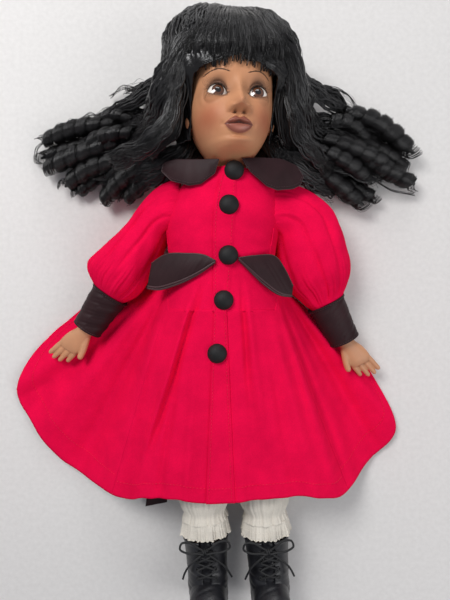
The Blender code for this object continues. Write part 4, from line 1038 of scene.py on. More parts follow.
def bodice_height(x, y):
    """z of the bodice's front at x and y, level beyond its side."""
    mid_x, z, half_x, half_z = (through(np.clip(y, -8.0, 85.5), BODICE[:, 0], BODICE[:, k])
                                for k in (1, 2, 3, 4))
    return z + half_z * np.sqrt(np.clip(1.0 - ((x - mid_x) / half_x) ** 2, 0.0, 1.0))


def bodice_folds(angle, y):
    """Soft creases of the fitted coat: cross pulls at the waist, darts and slack at the armholes."""
    side = np.abs(angle + 8.0)
    lift = 0.35 * ripple(y * 0.16 + side * 0.035, 61, 3) * step(side, 12.0, 40.0)
    lift = lift * step(y, 8.0, 26.0) + pleats(angle, (y + 8.0) / -125.0)
    lift += 0.7 * bell(y - 26.0 - 0.1 * side, 3.0) * bell(side - 62.0, 24.0)
    lift -= 0.6 * bell(y - 19.0 - 0.1 * side, 3.0) * bell(side - 62.0, 24.0)
    lift += 0.8 * bell(side - 88.0, 9.0) * bell(y - 60.0, 16.0)
    return lift


def placket_edge(y):
    """Degrees round the bodice of the placket's inner edge, which nears its outer one at the waist."""
    return through(y, [-9.0, 10.0, 30.0, 86.0], [3.8, 7.5, 10.5, 9.5])


def stitches(shape, path, length=1.5, gap=0.8, radius=0.22):
    """A row of short threads along a path."""
    gaps = np.linalg.norm(np.diff(path, axis=0), axis=1)
    run = np.r_[0.0, np.cumsum(gaps)]
    starts = np.arange(0.0, run[-1] - length, length + gap)
    t = np.linspace(0.0, 1.0, 4)
    for start in starts:
        at = start + length * t
        thread = np.stack([np.interp(at, run, path[:, k]) for k in range(3)], -1)
        thread[1:3, 2] += 0.12
        shape.add(tube_grid(thread, radius * np.array([0.5, 1.0, 1.0, 0.5]), 5), closed=True)


def cloth_piece(name, grid, material, body, replaces, fullness=1.02, flip=False,
                thickness=CLOTH, repeat=(1.0, 1.0), ends=None, closed=False):
    """One sheet of cloth from a grid of its outer face; ends, which names the two bodies that it hangs
    between, only has the piece left on no body with its place baked in.
    """
    shape = Shape().add(grid, closed=closed, flip=flip, repeat=repeat)
    piece = add_piece(name, shape.build(name), material, body, replaces)
    thicken(piece, thickness)
    if ends:
        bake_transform(piece)
    whole = np.concatenate([grid, grid[:, :1]], 1) if closed else grid
    declare_sheet(whole, fullness)
    return piece


def build_bodice():
    """Two fronts, the right lapped over the left as a placket, and the back."""
    y = np.linspace(85.5, -7.5, 96)[:, None]
    lap = 0.9
    parts = (("coat_front_left", -SIDE_SEAM, -5.5, 0.0, 80),
             ("coat_front_right", PLACKET, SIDE_SEAM, lap, 120),
             ("coat_back", SIDE_SEAM, 360.0 - SIDE_SEAM, 0.0, 90))
    for name, start, end, lift, count in parts:
        angle = np.linspace(start, end, count)[None, :] + 0.0 * y
        rise = bodice_folds(np.where(angle > 180.0, angle - 360.0, angle), y + 0.0 * angle)
        if name == "coat_back":
            rise = 0.3 * ripple(angle * 0.09 + y * 0.05, 8, 3)
            rise = np.minimum(rise, 0.25)
        if name == "coat_front_right":
            strip = step(angle - placket_edge(y), 1.2, -0.6)
            rise = rise * (1.0 - strip) + lap * (0.35 + 0.65 * strip) + 0.15 * ripple(y * 0.3, 12, 3) * strip
        grid = bodice_point(angle, y + 0.0 * angle, rise)
        cloth_piece(name + "_cloth", grid, "velveteen", "torso", (name,),
                    1.0)
    threads = Shape()
    height = np.linspace(80.0, -9.0, 160)
    for angle in (placket_edge(height) - 2.2, np.full(160, PLACKET + 2.4)):
        stitches(threads, bodice_point(angle, height, lap + 0.12))
    add_piece("coat_stitching", threads.build("coat_stitching"), "red_thread", "torso")


def cornered(points, count):
    """Straight runs through the points, with each corner just eased."""
    points = np.array([(x, y, 0.0) for x, y in points])
    run = np.r_[0.0, np.cumsum(np.linalg.norm(np.diff(points, axis=0), axis=1))]
    at = np.linspace(0.0, run[-1], count)
    near = [np.stack([np.interp(np.clip(at + d, 0.0, run[-1]), run, points[:, k]) for k in range(3)], -1)
            for d in (-0.6, -0.2, 0.2, 0.6)]
    return sum(near) / 4.0


def between(first, second, rows, across, power=1.0, corners=False):
    """Grid from one edge curve to another, each given by a few x, y points."""
    a = smooth_path([(x, y, 0.0) for x, y in first], across)
    b = cornered(second, across) if corners else smooth_path([(x, y, 0.0) for x, y in second], across)
    t = np.linspace(0.0, 1.0, rows)[:, None, None] ** power
    return a + (b - a) * t


def edge_tube(shape, grid, row, radius, lift=0.0):
    path = grid[row] + np.array([0.0, 0.0, lift])
    shape.add(tube_grid(path, radius, 10), closed=True)


def build_collar():
    """The two rounded collar leaves, lying over the shoulders, with a stitched edge."""
    leaves = {
        "left": ([(-10.8, 88.6), (-13.0, 88.8), (-22.0, 89.2), (-32.0, 90.0), (-40.0, 90.6), (-46.0, 89.6)],
                 [(-11.0, 88.2), (-13.7, 80.0), (-22.4, 73.9), (-30.0, 73.4), (-41.6, 77.4), (-48.4, 84.4),
                  (-47.0, 89.0)]),
        "right": ([(3.8, 89.0), (6.0, 89.4), (12.0, 90.0), (20.0, 90.4), (30.0, 90.4), (38.0, 88.0)],
                  [(4.0, 88.6), (9.0, 81.3), (19.9, 72.6), (26.5, 70.7), (37.5, 72.6), (42.1, 75.3),
                   (44.2, 81.0), (40.0, 87.0)]),
    }
    for name, side in SIDES:
        inner, outer = leaves[name]
        grid = between(inner, outer, 30, 90, corners=True)
        hinge = inner[0][0]
        away = np.abs(grid[..., 0] - hinge)
        ease = np.linspace(0.0, 1.0, 30)[:, None]
        top = (61.4 - 0.20 * away - 0.0035 * away ** 2
               + 0.7 * np.sin(np.pi * ease) * np.minimum(1.0, away / 6.0))
        wave = 0.55 * ripple(np.linspace(0.0, 9.0, 90), 40 + side, 3)[None, :] * ease
        lowest = bodice_height(grid[..., 0], grid[..., 1]) + 2.0 + 0.8 * np.sin(np.pi * ease)
        grid[..., 2] = np.maximum(top + wave, np.minimum(lowest, 61.5))
        cloth_piece("collar_leaf_" + name, grid, "satin", "torso", ("collar_" + name,),
                    1.0, flip=side < 0, thickness=1.5)
        edge = Shape()
        edge_tube(edge, grid, -1, 0.45, -0.7)
        add_piece("collar_piping_" + name, edge.build("collar_piping_" + name), "satin_piping", "torso")
        line = Shape()
        stitches(line, grid[-3, 3:-3] + np.array([0.0, 0.0, 0.1]), 1.3, 0.6, 0.14)
        add_piece("collar_stitching_" + name, line.build("collar_stitching_" + name), "satin_piping", "torso")


def build_tabs():
    """The two pointed waist tabs, doubled satin with two cords along the lower edge."""
    tabs = {
        "left": ([(-13.0, 24.6), (-20.0, 28.2), (-31.5, 29.6), (-47.0, 29.0), (-55.5, 24.0)],
                 [(-13.2, 24.0), (-24.8, 16.2), (-39.5, 9.7), (-52.0, 7.0), (-58.5, 8.0)]),
        "right": ([(1.4, 26.4), (12.0, 28.0), (25.8, 27.6), (31.0, 21.0), (37.4, 9.0)],
                  [(1.6, 25.8), (8.5, 19.0), (18.7, 9.6), (28.9, 3.4), (36.6, 2.4)]),
    }
    for name, side in SIDES:
        upper, lower = tabs[name]
        grid = between(upper, lower, 30, 60)
        away = np.abs(grid[..., 0] - upper[0][0])
        puff = np.sin(np.pi * np.linspace(0.0, 1.0, 30))[:, None] * np.minimum(1.0, away / 9.0)
        crease = 0.35 * ripple(away * 0.35 + grid[..., 1] * 0.22, 50 + side, 4)
        slope = 60.4 - 0.20 * away - 0.0035 * away ** 2
        grid[..., 2] = (np.maximum(slope, bodice_height(grid[..., 0], grid[..., 1]) + 1.8) + 0.9 * puff
                        + crease * puff)
        cloth_piece("waist_tab_leaf_" + name, grid, "satin", "torso", ("waist_tab_" + name,),
                    1.0, flip=side < 0, thickness=1.5)
        edge = Shape()
        edge_tube(edge, grid, -1, 0.8, -0.6)
        edge_tube(edge, grid, -3, 0.65, 0.1)
        edge_tube(edge, grid, 0, 0.6, -0.7)
        add_piece("waist_tab_piping_" + name, edge.build("waist_tab_piping_" + name), "satin_piping", "torso")


BUTTONS = ((-1.2, 82.0, 59.3), (-4.5, 59.7, 62.5), (-4.9, 28.4, 59.5), (-7.8, 0.0, 58.6),
           (-12.0, -34.0, 57.0))


def build_buttons():
    """Flocked dome buttons: a turned profile with a rolled edge, covered in short pile."""
    profile = np.array([(0.0, 4.3), (1.2, 4.25), (2.6, 3.9), (4.0, 3.2), (5.2, 2.2), (6.0, 1.2), (6.25, 0.5),
                        (6.1, 0.0), (5.4, -0.3), (3.0, -0.4), (0.0, -0.4)])
    fine = smooth_path([(r, 0.0, z) for r, z in profile], 40)
    for number, spot in enumerate(BUTTONS, 1):
        angle = angles_round(72)
        radius = fine[:, :1] * (1.0 + 0.006 * ripple(angle * 9.0, number)[None, :])
        height = fine[:, 2:] + 0.05 * ripple(angle * 21.0, number + 9)[None, :] * (radius > 1.0)
        grid = np.stack([spot[0] + radius * np.cos(angle), spot[1] + radius * np.sin(angle),
                         spot[2] + height + 0.0 * angle], -1)
        name = "dome_button_" + str(number)
        shape = Shape().add(grid, closed=True)
        body = "skirt_left" if number == 5 else "torso"
        add_piece(name, shape.build(name), "button", body, ("button_" + str(number),))


# ------------------------------------------------------------------ skirt

# The skirt's rays: degrees round the waist, then x, y and z of the ray's end at the hem and how
# fast it falls to the bed (1 is straight, less falls early)
RAYS = np.array([
    (-114.0, -112.0, -5.0, 3.6, 0.30), (-106.0, -148.0, -38.0, 3.6, 0.30), (-98.0, -161.0, -66.0, 3.6, 0.35),
    (-88.0, -149.0, -92.0, 4.0, 0.45), (-76.0, -124.0, -121.0, 6.0, 0.60), (-65.0, -86.0, -135.5, 24.5, 1.0),
    (-46.0, -62.0, -133.5, 38.0, 1.0), (-26.0, -40.0, -131.5, 45.0, 1.0), (-6.8, -19.5, -134.0, 46.5, 1.0),
    (3.3, -0.8, -133.0, 47.0, 1.0), (16.0, 12.0, -131.5, 46.0, 1.0), (40.0, 44.0, -130.5, 43.0, 1.0),
    (65.0, 79.5, -132.5, 25.0, 1.0), (76.0, 97.0, -120.5, 6.0, 0.60), (88.0, 119.5, -94.5, 4.0, 0.45),
    (98.0, 106.0, -61.5, 3.6, 0.35), (106.0, 86.0, -33.5, 3.6, 0.30), (114.0, 58.0, -16.0, 3.6, 0.30)])
# Folds down the skirt: degrees round the waist at its top and at the hem, height, width in degrees,
# and the shares of the skirt's length where each begins and ends, less than 0 being on the bodice
SKIRT_FOLDS = (
    (-100.0, -99.0, 2.0, 4.0, 0.15, 1.2), (-92.0, -93.0, -2.6, 3.4, 0.1, 1.2),
    (-84.0, -84.0, 3.0, 4.0, 0.1, 1.2),
    (-74.0, -73.5, -5.6, 3.4, -0.05, 1.2), (-69.0, -65.0, 3.2, 3.6, 0.0, 1.2),
    (-11.0, -53.0, -3.6, 3.2, -0.24, 0.85),
    (-15.0, -59.0, 3.4, 4.6, -0.2, 0.9), (-32.0, -37.0, -2.2, 3.6, 0.15, 1.2),
    (-22.0, -19.0, 1.6, 4.5, 0.2, 1.3),
    (21.0, 17.0, -2.4, 2.4, -0.22, 0.6), (25.0, 25.0, 1.8, 3.6, -0.2, 0.8),
    (38.0, 37.0, -1.4, 3.4, 0.15, 1.2),
    (49.0, 48.0, 2.8, 5.5, 0.05, 1.2), (74.0, 66.0, -5.0, 3.2, -0.05, 1.1), (68.0, 59.0, 3.4, 4.2, 0.0, 1.1),
    (84.0, 80.0, -3.4, 2.4, 0.05, 1.2), (90.0, 88.0, 2.8, 4.0, 0.1, 1.2), (99.0, 98.0, -2.0, 4.0, 0.15, 1.2))


def pleats(angle, t):
    """How far the coat stands out at an angle, t of the way from the waist to the hem."""
    along = np.clip((t + 0.24) / 1.24, 0.0, 1.0) ** 0.6
    lift = 0.0 * angle * t
    for top, hem, height, width, begin, finish in SKIRT_FOLDS:
        show = step(t, begin, begin + 0.3) * (1.0 - step(t, finish - 0.35, finish))
        at = top + (hem - top) * along
        lift = lift + height * bell(angle - at, width * (1.15 - 0.3 * along)) * show
    return lift


def skirt_grid(start, end, across, low=0.0, rows=90, drop=0.0, reach=1.0):
    """The skirt between two angles round the waist: rays out to the hem, raised and sunk along its folds."""
    angle = np.linspace(start, end, across)[None, :]
    t = np.linspace(low, reach, rows)[:, None]
    end_x, end_y, end_z, fall = (through(angle, RAYS[:, 0], RAYS[:, k]) for k in (1, 2, 3, 4))
    waist = bodice_point(angle, -8.0 + 22.0 * step(np.abs(angle), 56.0, 84.0))
    t1 = np.clip(t, 0.0, 1.0)
    x = waist[..., 0] + (end_x - waist[..., 0]) * t
    y = waist[..., 1] + 1.8 + (end_y - waist[..., 1] - 1.8) * t
    z = waist[..., 2] + (end_z - waist[..., 2]) * t1 ** np.clip(fall, 0.25, 1.0)
    lift = pleats(angle, t) + 0.1 + 0.3 * (angle > 3.2)
    lift = lift + 0.45 * ripple(angle * 0.11 + t * 2.5, 77, 4) * step(t, 0.05, 0.4)
    lift = lift + 1.2 * ripple(angle * 0.13, 78, 3) * step(t, 0.75, 1.0)
    z = np.maximum(z + lift, 2.9 + 0.25 * (z < 6.0)) - drop
    return np.stack([x, y, z], -1)


SKIRT_PARTS = (
    ("side_left", -114.0, -65.0, 110, "skirt_side_left", "skirt_left",
     ((-118.0, -70.0, 10.0), (-80.0, -100.0, 30.0))),
    ("front_left", -65.0, -4.5, 130, "skirt_front_left", "skirt_left",
     ((0.0, -11.0, 57.0), (0.0, -30.0, 57.0))),
    ("placket", -6.8, 3.3, 30, "skirt_front_left", "skirt_left", ((0.0, -11.0, 57.0), (0.0, -30.0, 57.0))),
    ("front_right", 3.3, 65.0, 130, "skirt_front_right", "skirt_right",
     ((0.0, -11.0, 57.0), (0.0, -30.0, 57.0))),
    ("side_right", 65.0, 114.0, 110, "skirt_side_right", "skirt_right",
     ((95.0, -65.0, 10.0), (68.0, -95.0, 30.0))),
)


def build_skirt():
    """The coat's skirt in five panels that meet edge to edge, each but the placket with a dark lining under
    it.
    """
    for name, start, end, across, node, body, ends in SKIRT_PARTS:
        drop = -1.0 if name == "placket" else 0.0
        grid = skirt_grid(start, end, across, drop=drop)
        blend = ("torso", body, *ends)
        cloth_piece("skirt_" + name + "_cloth", grid, "velveteen", None, (node,),
                    1.0,
                    ends=blend)
        if name == "placket":
            continue
        lining = skirt_grid(start, end, across // 2, low=0.12, rows=45, drop=2.0, reach=1.004)
        lining[..., 2] = np.maximum(lining[..., 2], 1.9)
        cloth_piece("skirt_" + name + "_lining", lining, "satin", None, (),
                    1.0,
                    thickness=0.4,
                    ends=blend)
    for name, start, end, across, node, body, ends in SKIRT_PARTS:
        threads = Shape()
        line = skirt_grid(start + 0.4, end - 0.4, 400, low=0.0, rows=200, drop=-0.12 - (name == "placket"))
        row = 183 if "side" not in name else 178
        stitches(threads, line[row])
        if name == "placket":
            stitches(threads, line[4:, 30])
            stitches(threads, line[4:, -30])
        piece_name = "skirt_" + name + "_stitching"
        piece = add_piece(piece_name, threads.build(piece_name), "red_thread", None)
        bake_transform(piece)
    x = np.linspace(-162.5, 120.0, 160)[None, :]
    top = through(x, [-162.5, -148.0, -110.0, -44.0, 27.0, 86.0, 106.0, 120.0],
                  [-66.0, -40.0, -7.5, -9.0, -9.0, -33.5, -62.0, -94.0])
    low = through(x, [-162.5, -148.0, -122.0, -80.0, 20.0, 84.0, 97.0, 120.0],
                  [-67.0, -92.5, -122.5, -130.0, -130.0, -129.0, -121.5, -95.0])
    t = np.linspace(0.0, 1.0, 70)[:, None]
    y = top + (low - top) * t
    z = 1.75 + 0.2 * ripple(x * 0.12 + y * 0.03, 90, 4)
    grid = np.stack([x + 0.0 * y, y, z], -1)
    cloth_piece("skirt_back_cloth", grid, "velveteen", "torso", ("skirt_back",),
                1.0,
                thickness=1.4)
    t = np.linspace(0.0, 1.0, 50)[:, None]
    u = np.linspace(0.0, 1.0, 24)[None, :]
    x = -60.0 + 14.0 * u + (-6.0 + 2.0 * u) * t
    y = -110.0 - 43.0 * t + 3.0 * u * t
    z = 3.9 + 0.5 * ripple(t * 8.0 + u * 3.0, 95, 3)
    cloth_piece("sash_tail_ribbon", np.stack([x + 0.0 * y, y + 0.0 * x, z + 0.0 * x], -1), "satin", "torso",
                ("sash_tail",), 1.0, thickness=1.2)


# ------------------------------------------------------------------ arms

SLEEVES = {    # distance down the arm, centre out, half width, half depth
    "left": np.array([(-8.0, 4.0, 15.0, 17.5), (4.0, 3.0, 14.6, 18.5), (17.0, 1.6, 15.8, 19.5),
                      (30.0, 1.6, 17.8, 20.5),
                      (42.0, 2.4, 19.4, 21.0), (54.0, 3.2, 20.8, 20.5), (62.0, 4.0, 20.0, 18.0),
                      (67.5, 3.2, 16.6, 14.6),
                      (71.5, 1.0, 12.2, 10.6)]),
    "right": np.array([(-8.0, 9.0, 18.0, 17.5), (4.0, 10.5, 20.4, 19.0), (16.0, 9.0, 23.6, 21.0),
                       (28.0, 7.4, 25.4, 22.0),
                       (42.0, 5.8, 24.6, 21.5), (53.0, 4.8, 22.4, 19.5), (61.0, 4.2, 18.4, 16.0),
                       (67.0, 2.4, 14.6, 12.8),
                       (71.5, 1.0, 12.2, 10.6)]),
}
CUFF_TOP = 70.35
CUFF_END = 101.35


def build_sleeves():
    """Puffed sleeves: rings that turn from the armhole to the arm's own line, gathered at both ends."""
    for name, side in SIDES:
        arm = ARMS[name]
        count, around = 120, 200
        t = np.linspace(0.0, 1.0, count)
        down = np.interp(t, [0.0, 0.16, 1.0], [-8.0, 2.0, 71.5])
        table = SLEEVES[name]
        out, half_x, half_z = (through(down, table[:, 0], table[:, k]) for k in (1, 2, 3))
        centre = arm.place(np.stack([side * out, -down, 0.0 * t], -1))
        share = step(t, 0.34, 0.0)[:, None]
        armhole = np.array([-37.5 if side < 0 else 20.5, 56.5 if side < 0 else 54.5, 31.0])
        centre = centre * (1.0 - share) + armhole * share
        lean = np.radians(arm.splay) * (1.0 - share[:, 0])
        lean = lean + np.radians(-90.0 * side) * share[:, 0] * -1.0
        across = np.stack([np.cos(lean), np.sin(lean), 0.0 * t], -1)
        angle = angles_round(around)[None, :]
        gather = (1.5 * step(t, 0.6, 0.9)[:, None] * step(t, 1.0, 0.93)[:, None]
                  * ripple(angle * 9.0, 140 + side, 4))
        gather = gather + 0.8 * step(t, 0.3, 0.02)[:, None] * ripple(angle * 9.0, 150 + side, 4)
        fold = 1.2 * ripple(angle * 1.6 + t[:, None] * 3.2 * side, 160 + side, 4) * np.sin(np.pi * t)[:, None]
        for turn, drift, deep in ((-38.0, 10.0, 1.8), (14.0, -16.0, 1.5), (48.0, 12.0, 1.3)):
            crease = bell(np.angle(np.exp(1j * (angle - np.radians((turn + drift * t[:, None]) * -side)))),
                          0.09)
            fold = fold - deep * crease * (step(t, 0.1, 0.3) * step(t, 0.86, 0.6))[:, None]
        width = (half_x * (1.0 - share[:, 0]) + 25.5 * share[:, 0])[:, None] + gather + fold
        depth = (half_z * (1.0 - share[:, 0]) + 16.5 * share[:, 0])[:, None] + gather + fold
        grid = centre[:, None, :] + (width * np.sin(angle))[..., None] * across[:, None, :]
        grid[..., 2] += depth * np.cos(angle)
        grid[..., 2] = np.maximum(grid[..., 2], 1.8)
        cloth_piece("sleeve_" + name + "_cloth", grid, "velveteen", None,
                    ("sleeve_" + name,),
                    1.0, closed=True, repeat=(2.0, 2.0),
                    ends=("torso", "arm_" + name, armhole, armhole + (centre[30] - armhole) * 1.0))
        seam = Shape()
        level = np.linspace(47.0, 30.0, 40)
        bend = 70.0 - 3.0 * np.sin(np.pi * (55.0 - level) / 50.0)
        seam.add(tube_grid(bodice_point(-8.0 + side * bend, level, 0.4 + 0.5 * (side > 0)), 0.4, 8),
                 closed=True)
        piece_name = "armhole_seam_" + name
        add_piece(piece_name, seam.build(piece_name), "velveteen", "torso")


def build_cuffs():
    """Black satin cuffs: tapered tubes with a cord at the top and a hem line."""
    for name, side in SIDES:
        arm = ARMS[name]
        t = np.linspace(0.0, 1.0, 70)[:, None]
        angle = angles_round(120)[None, :]
        down = CUFF_TOP + (CUFF_END - CUFF_TOP) * t
        crease = (0.32 * ripple(t * 9.0 + angle * 1.2, 170 + side, 4)
                  + 0.16 * ripple(t * 22.0 + angle * 3.0, 180, 3))
        half_x = 13.4 - 2.8 * t + crease
        half_z = 10.9 - 1.5 * t + crease
        half_x = half_x + 0.9 * bell(t - 0.015, 0.03) + 0.35 * bell(t - 0.985, 0.02)
        half_z = half_z + 0.9 * bell(t - 0.015, 0.03) + 0.35 * bell(t - 0.985, 0.02)
        local = np.stack([half_x * np.sin(angle), -down + 0.0 * angle, half_z * np.cos(angle)], -1)
        cloth_piece("cuff_" + name + "_cloth", arm.place(local), "satin", "arm_" + name,
                    ("cuff_" + name,), 1.0, closed=True, thickness=1.6)
        trim = Shape()
        for row, lift in ((3, 1.02), (66, 1.02)):
            ring = local[row] * np.array([lift, 1.0, lift])
            ring = np.concatenate([ring, ring[:1]])
            stitches(trim, arm.place(ring), 1.1, 0.7, 0.16)
        piece_name = "cuff_stitching_" + name
        add_piece(piece_name, trim.build(piece_name), "satin_piping", "arm_" + name)


def build_hands():
    """Porcelain forearms and hands: a wrist and palm of oval rings, four fingers and a thumb."""
    palm = np.array([    # distance past the wrist, half width, half depth
        (-49.0, 7.2, 7.2), (-30.0, 7.1, 7.1), (-8.0, 6.0, 5.6), (0.0, 5.5, 5.0), (4.0, 6.0, 5.0),
        (9.0, 7.8, 4.8),
        (14.0, 8.5, 4.4), (18.0, 8.3, 3.9), (20.5, 7.0, 3.0)])
    for name, side in SIDES:
        arm = ARMS[name]
        shape = Shape()
        bend = 0.16 * side
        at = np.linspace(-49.0, 20.5, 90)
        half_x, half_z = (through(at, palm[:, 0], palm[:, k]) for k in (1, 2))
        x = bend * np.maximum(at, 0.0)
        knuckle = angles_round(40)
        grid = oval_grid(-CUFF_END - at, x, 0.0 * at, half_x, half_z, knuckle, 2.3)
        grid = np.concatenate([grid[:1] * [1, 1, 0] + [0, 0, 0], grid,
                               grid[-1:].mean(1, keepdims=True) + 0 * grid[-1:]])
        grid[0] = grid[1].mean(0)
        shape.add(arm.place(grid), closed=True, flip=False)
        t = np.linspace(0.0, 1.0, 26)
        for k, (off, reach, sag) in enumerate(((-6.2, 13.5, 1.6), (-2.2, 15.2, 2.2), (2.0, 14.6, 2.6),
                                               (6.0, 11.6, 3.0))):
            off = off * -side
            start = np.array([bend * 16.0 + off * 0.95, -CUFF_END - 15.5, 0.0])
            path = start + np.stack([(bend * 1.5 * reach + off * 0.12) * t * 1.2, -(reach + 2.5) * t,
                                     0.6 * t - sag * t * t], -1)
            girth = 2.25 * (1.0 - 0.28 * t) * (1.0 + 0.06 * bell(t - 0.48, 0.08))
            girth = girth * np.sqrt(np.clip(1.0 - np.clip((t - 0.86) / 0.14, 0.0, 1.0) ** 2, 0.02, 1.0))
            shape.add(arm.place(tube_grid(path, girth, 18, flat=0.92)), closed=True)
        start = np.array([-side * 3.2, -CUFF_END - 5.0, 0.8])
        path = start + np.stack([-side * (4.6 * np.sin(t * 1.5)), -16.0 * t, 3.6 * t - 1.2 * t * t], -1)
        girth = (2.75 * (1.0 - 0.25 * t)
                 * np.sqrt(np.clip(1.0 - np.clip((t - 0.86) / 0.14, 0.0, 1.0) ** 2, 0.02, 1.0)))
        shape.add(arm.place(tube_grid(path, girth, 18)), closed=True)
        piece_name = "hand_porcelain_" + name
        mesh = shape.build(piece_name, outward=True)
        piece = add_piece(piece_name, mesh, "plain_porcelain", "arm_" + name,
                          ("forearm_" + name,))
        merge = piece.modifiers.new("Merge", "REMESH")
        merge.mode = "VOXEL"
        merge.voxel_size = 0.42 * MM
        merge.use_smooth_shade = True
        relax = piece.modifiers.new("Relax", "SMOOTH")
        relax.iterations = 6
        relax.factor = 0.5


# ------------------------------------------------------------------ stuffed body

def stuffed(name, stations, place, body, seams, seed):
    """A stuffed muslin form: oval rings with a sewn seam at each side and soft lumps."""
    stations = np.asarray(stations, float)
    y = np.linspace(stations[0, 0], stations[-1, 0], 90)
    x, z, half_x, half_z = (through(-y, -stations[:, 0], stations[:, k]) for k in (1, 2, 3, 4))
    angle = angles_round(96)
    grid = oval_grid(y, x, z, half_x, half_z, angle)
    lump = 1.0 + 0.012 * ripple(angle[None, :] * 2.0 + y[:, None] * 0.12, seed, 4)
    seam = 1.0 - 0.03 * sum(bell(np.angle(np.exp(1j * (angle - at))), 0.07) for at in seams)[None, :]
    middle = np.stack([x, y, z], -1)[:, None, :]
    grid = middle + (grid - middle) * (lump * seam)[..., None]
    grid = np.concatenate([grid[:1].mean(1, keepdims=True) + 0 * grid[:1], grid,
                           grid[-1:].mean(1, keepdims=True) + 0 * grid[-1:]])
    shape = Shape().add(place(grid), closed=True, flip=True)
    piece = add_piece(name + "_stuffed", shape.build(name + "_stuffed", outward=True), "muslin", body,
                      (name,))


def build_body():
    """The stuffed torso, upper arms and thighs inside the clothes."""
    sides = (math.pi / 2, -math.pi / 2)
    inner = BODICE[::-1].copy()
    torso = [(y, x, z, a - 5.8, b - 4.8) for y, x, z, a, b in inner if y < 59.0]
    torso = [(59.4, -8.0, 33.0, 31.4, 23.9), *torso, (-12.8, -9.0, 30.0, 31.0, 19.0)]
    stuffed("torso_body", torso, lambda p: p, "torso", sides, 1)
    for name, side in SIDES:
        stuffed("upper_arm_" + name, [(6.0, 0.0, 0.0, 7.4, 7.4), (0.0, 0.0, 0.0, 8.4, 8.4),
                                      (-46.0, 0.0, 0.0, 8.4, 8.4),
                                      (-51.8, 0.0, 0.0, 7.4, 7.4)], ARMS[name].place, "arm_" + name, sides, 2)
        stuffed("thigh_" + name, [(9.5, 0.0, 0.0, 6.2, 6.2), (6.0, 0.0, 0.0, 10.2, 10.2),
                                  (0.0, 0.0, 0.0, 11.9, 11.9),
                                  (-64.0, 0.0, 0.0, 11.2, 11.2), (-75.8, 0.0, 0.0, 10.6, 10.6)],
                                  LEGS[name].place,
                "leg_" + name, sides, 3)


# ------------------------------------------------------------------ legs

def build_bloomers():
    """Cotton bloomer legs, gathered on elastic above a ruffle, with a lace edge below."""
    for name, side in SIDES:
        leg = LEGS[name]
        t = np.linspace(0.0, 1.0, 130)[:, None]
        angle = angles_round(170)[None, :]
        down = 1.0 + 123.0 * t
        half_x = through(down, [0.0, 50.0, 100.0, 112.0, 119.0, 124.0], [17.2, 18.2, 18.4, 17.2, 14.4, 16.2])
        half_z = through(down, [0.0, 50.0, 100.0, 112.0, 119.0, 124.0], [15.0, 15.0, 15.0, 14.8, 12.9, 14.4])
        gather = ripple(angle * 10.0, 210 + side, 5)
        amount = (0.75 * step(down, 88.0, 112.0) * step(down, 124.5, 119.0)
                  + 0.75 * step(down, 119.0, 123.0) + 0.28 * step(down, 40.0, 0.0))
        slack = 0.55 * ripple(angle * 2.0 + down * 0.06, 220 + side, 4)
        local = np.stack([(half_x + gather * amount + slack) * np.sin(angle), -down + 0.0 * angle,
                          (half_z + gather * amount + slack) * np.cos(angle)], -1)
        cloth_piece("bloomer_" + name + "_cloth", leg.place(local), "cotton", "leg_" + name,
                    ("bloomers_" + name,), 1.0, closed=True, thickness=0.7)
        t = np.linspace(0.0, 1.0, 34)[:, None]
        angle = angles_round(420)[None, :]
        frill = ripple(angle * 9.0, 230 + side, 4)
        scallop = 0.9 * np.abs(np.sin(angle * 16.0))
        down = 123.2 + (9.6 + scallop) * t
        spread = 1.6 * t + frill * (0.4 + 1.5 * t)
        local = np.stack([(15.6 + spread) * np.sin(angle), -down, (14.0 + 0.8 * spread) * np.cos(angle)], -1)
        local[..., 0] = np.clip(local[..., 0], -18.6, 18.6)
        cloth_piece("lace_frill_" + name, leg.place(local), "lace", "leg_" + name,
                    ("lace_trim_" + name,),
                    1.0, closed=True, thickness=0.5, repeat=(32.0, 3.0))
        loops = Shape()
        for row, size in ((-1, 0.3), (17, 0.16)):
            ring = np.concatenate([local[row], local[row, :1]])
            loops.add(leg.place(tube_grid(ring, size, 6)), closed=True)
        piece_name = "lace_edging_" + name
        add_piece(piece_name, loops.build(piece_name), "lace", "leg_" + name)


BOOT = np.array([    # height over the sole's top: half width, half depth, centre z of the boot's shaft
    (52.0, 14.7, 14.4, 0.0), (48.0, 14.2, 14.0, 0.0), (38.0, 13.4, 13.2, 0.0), (26.0, 12.8, 13.2, 0.5),
    (14.0, 12.7, 13.8, 1.0), (5.0, 12.2, 13.4, 1.0), (0.6, 11.6, 12.8, 1.0)])
BOOT_BASE = -187.0
BOOT_FRONT = 15.2


def foot_grid():
    """The boot's foot: rings along the foot from heel to toe, flat below and domed above."""
    t = np.linspace(0.0, 1.0, 70)
    heel, length = -13.4, 59.6
    half = through(t, [0.0, 0.05, 0.2, 0.45, 0.7, 0.86, 0.96, 1.0],
                   [3.0, 9.4, 12.6, 12.6, 13.8, 13.0, 8.4, 2.5])
    tall = through(t, [0.0, 0.05, 0.3, 0.5, 0.7, 0.86, 0.96, 1.0],
                   [10.0, 20.0, 26.0, 22.5, 16.5, 13.0, 9.0, 4.0])
    angle = angles_round(72)
    s, c = np.sin(angle)[None, :], np.cos(angle)[None, :]
    x = half[:, None] * np.sign(s) * np.abs(s) ** 0.85
    rise = np.where(c > 0.0, np.abs(c), -np.abs(c) ** 0.4)
    y = BOOT_BASE + 0.2 + tall[:, None] * 0.42 + np.where(rise > 0.0, 0.58, 0.42) * tall[:, None] * rise
    cap = -0.35 * bell(t - 0.68, 0.012)[:, None] * (rise > -0.2)
    crease = 0.35 * ripple(t[:, None] * 40.0 + x * 0.2, 260, 3) * bell(t - 0.55, 0.09)[:, None] * (rise > 0.1)
    z = heel + length * t[:, None] + 0.0 * x
    return np.stack([x, y + cap + crease, z], -1)


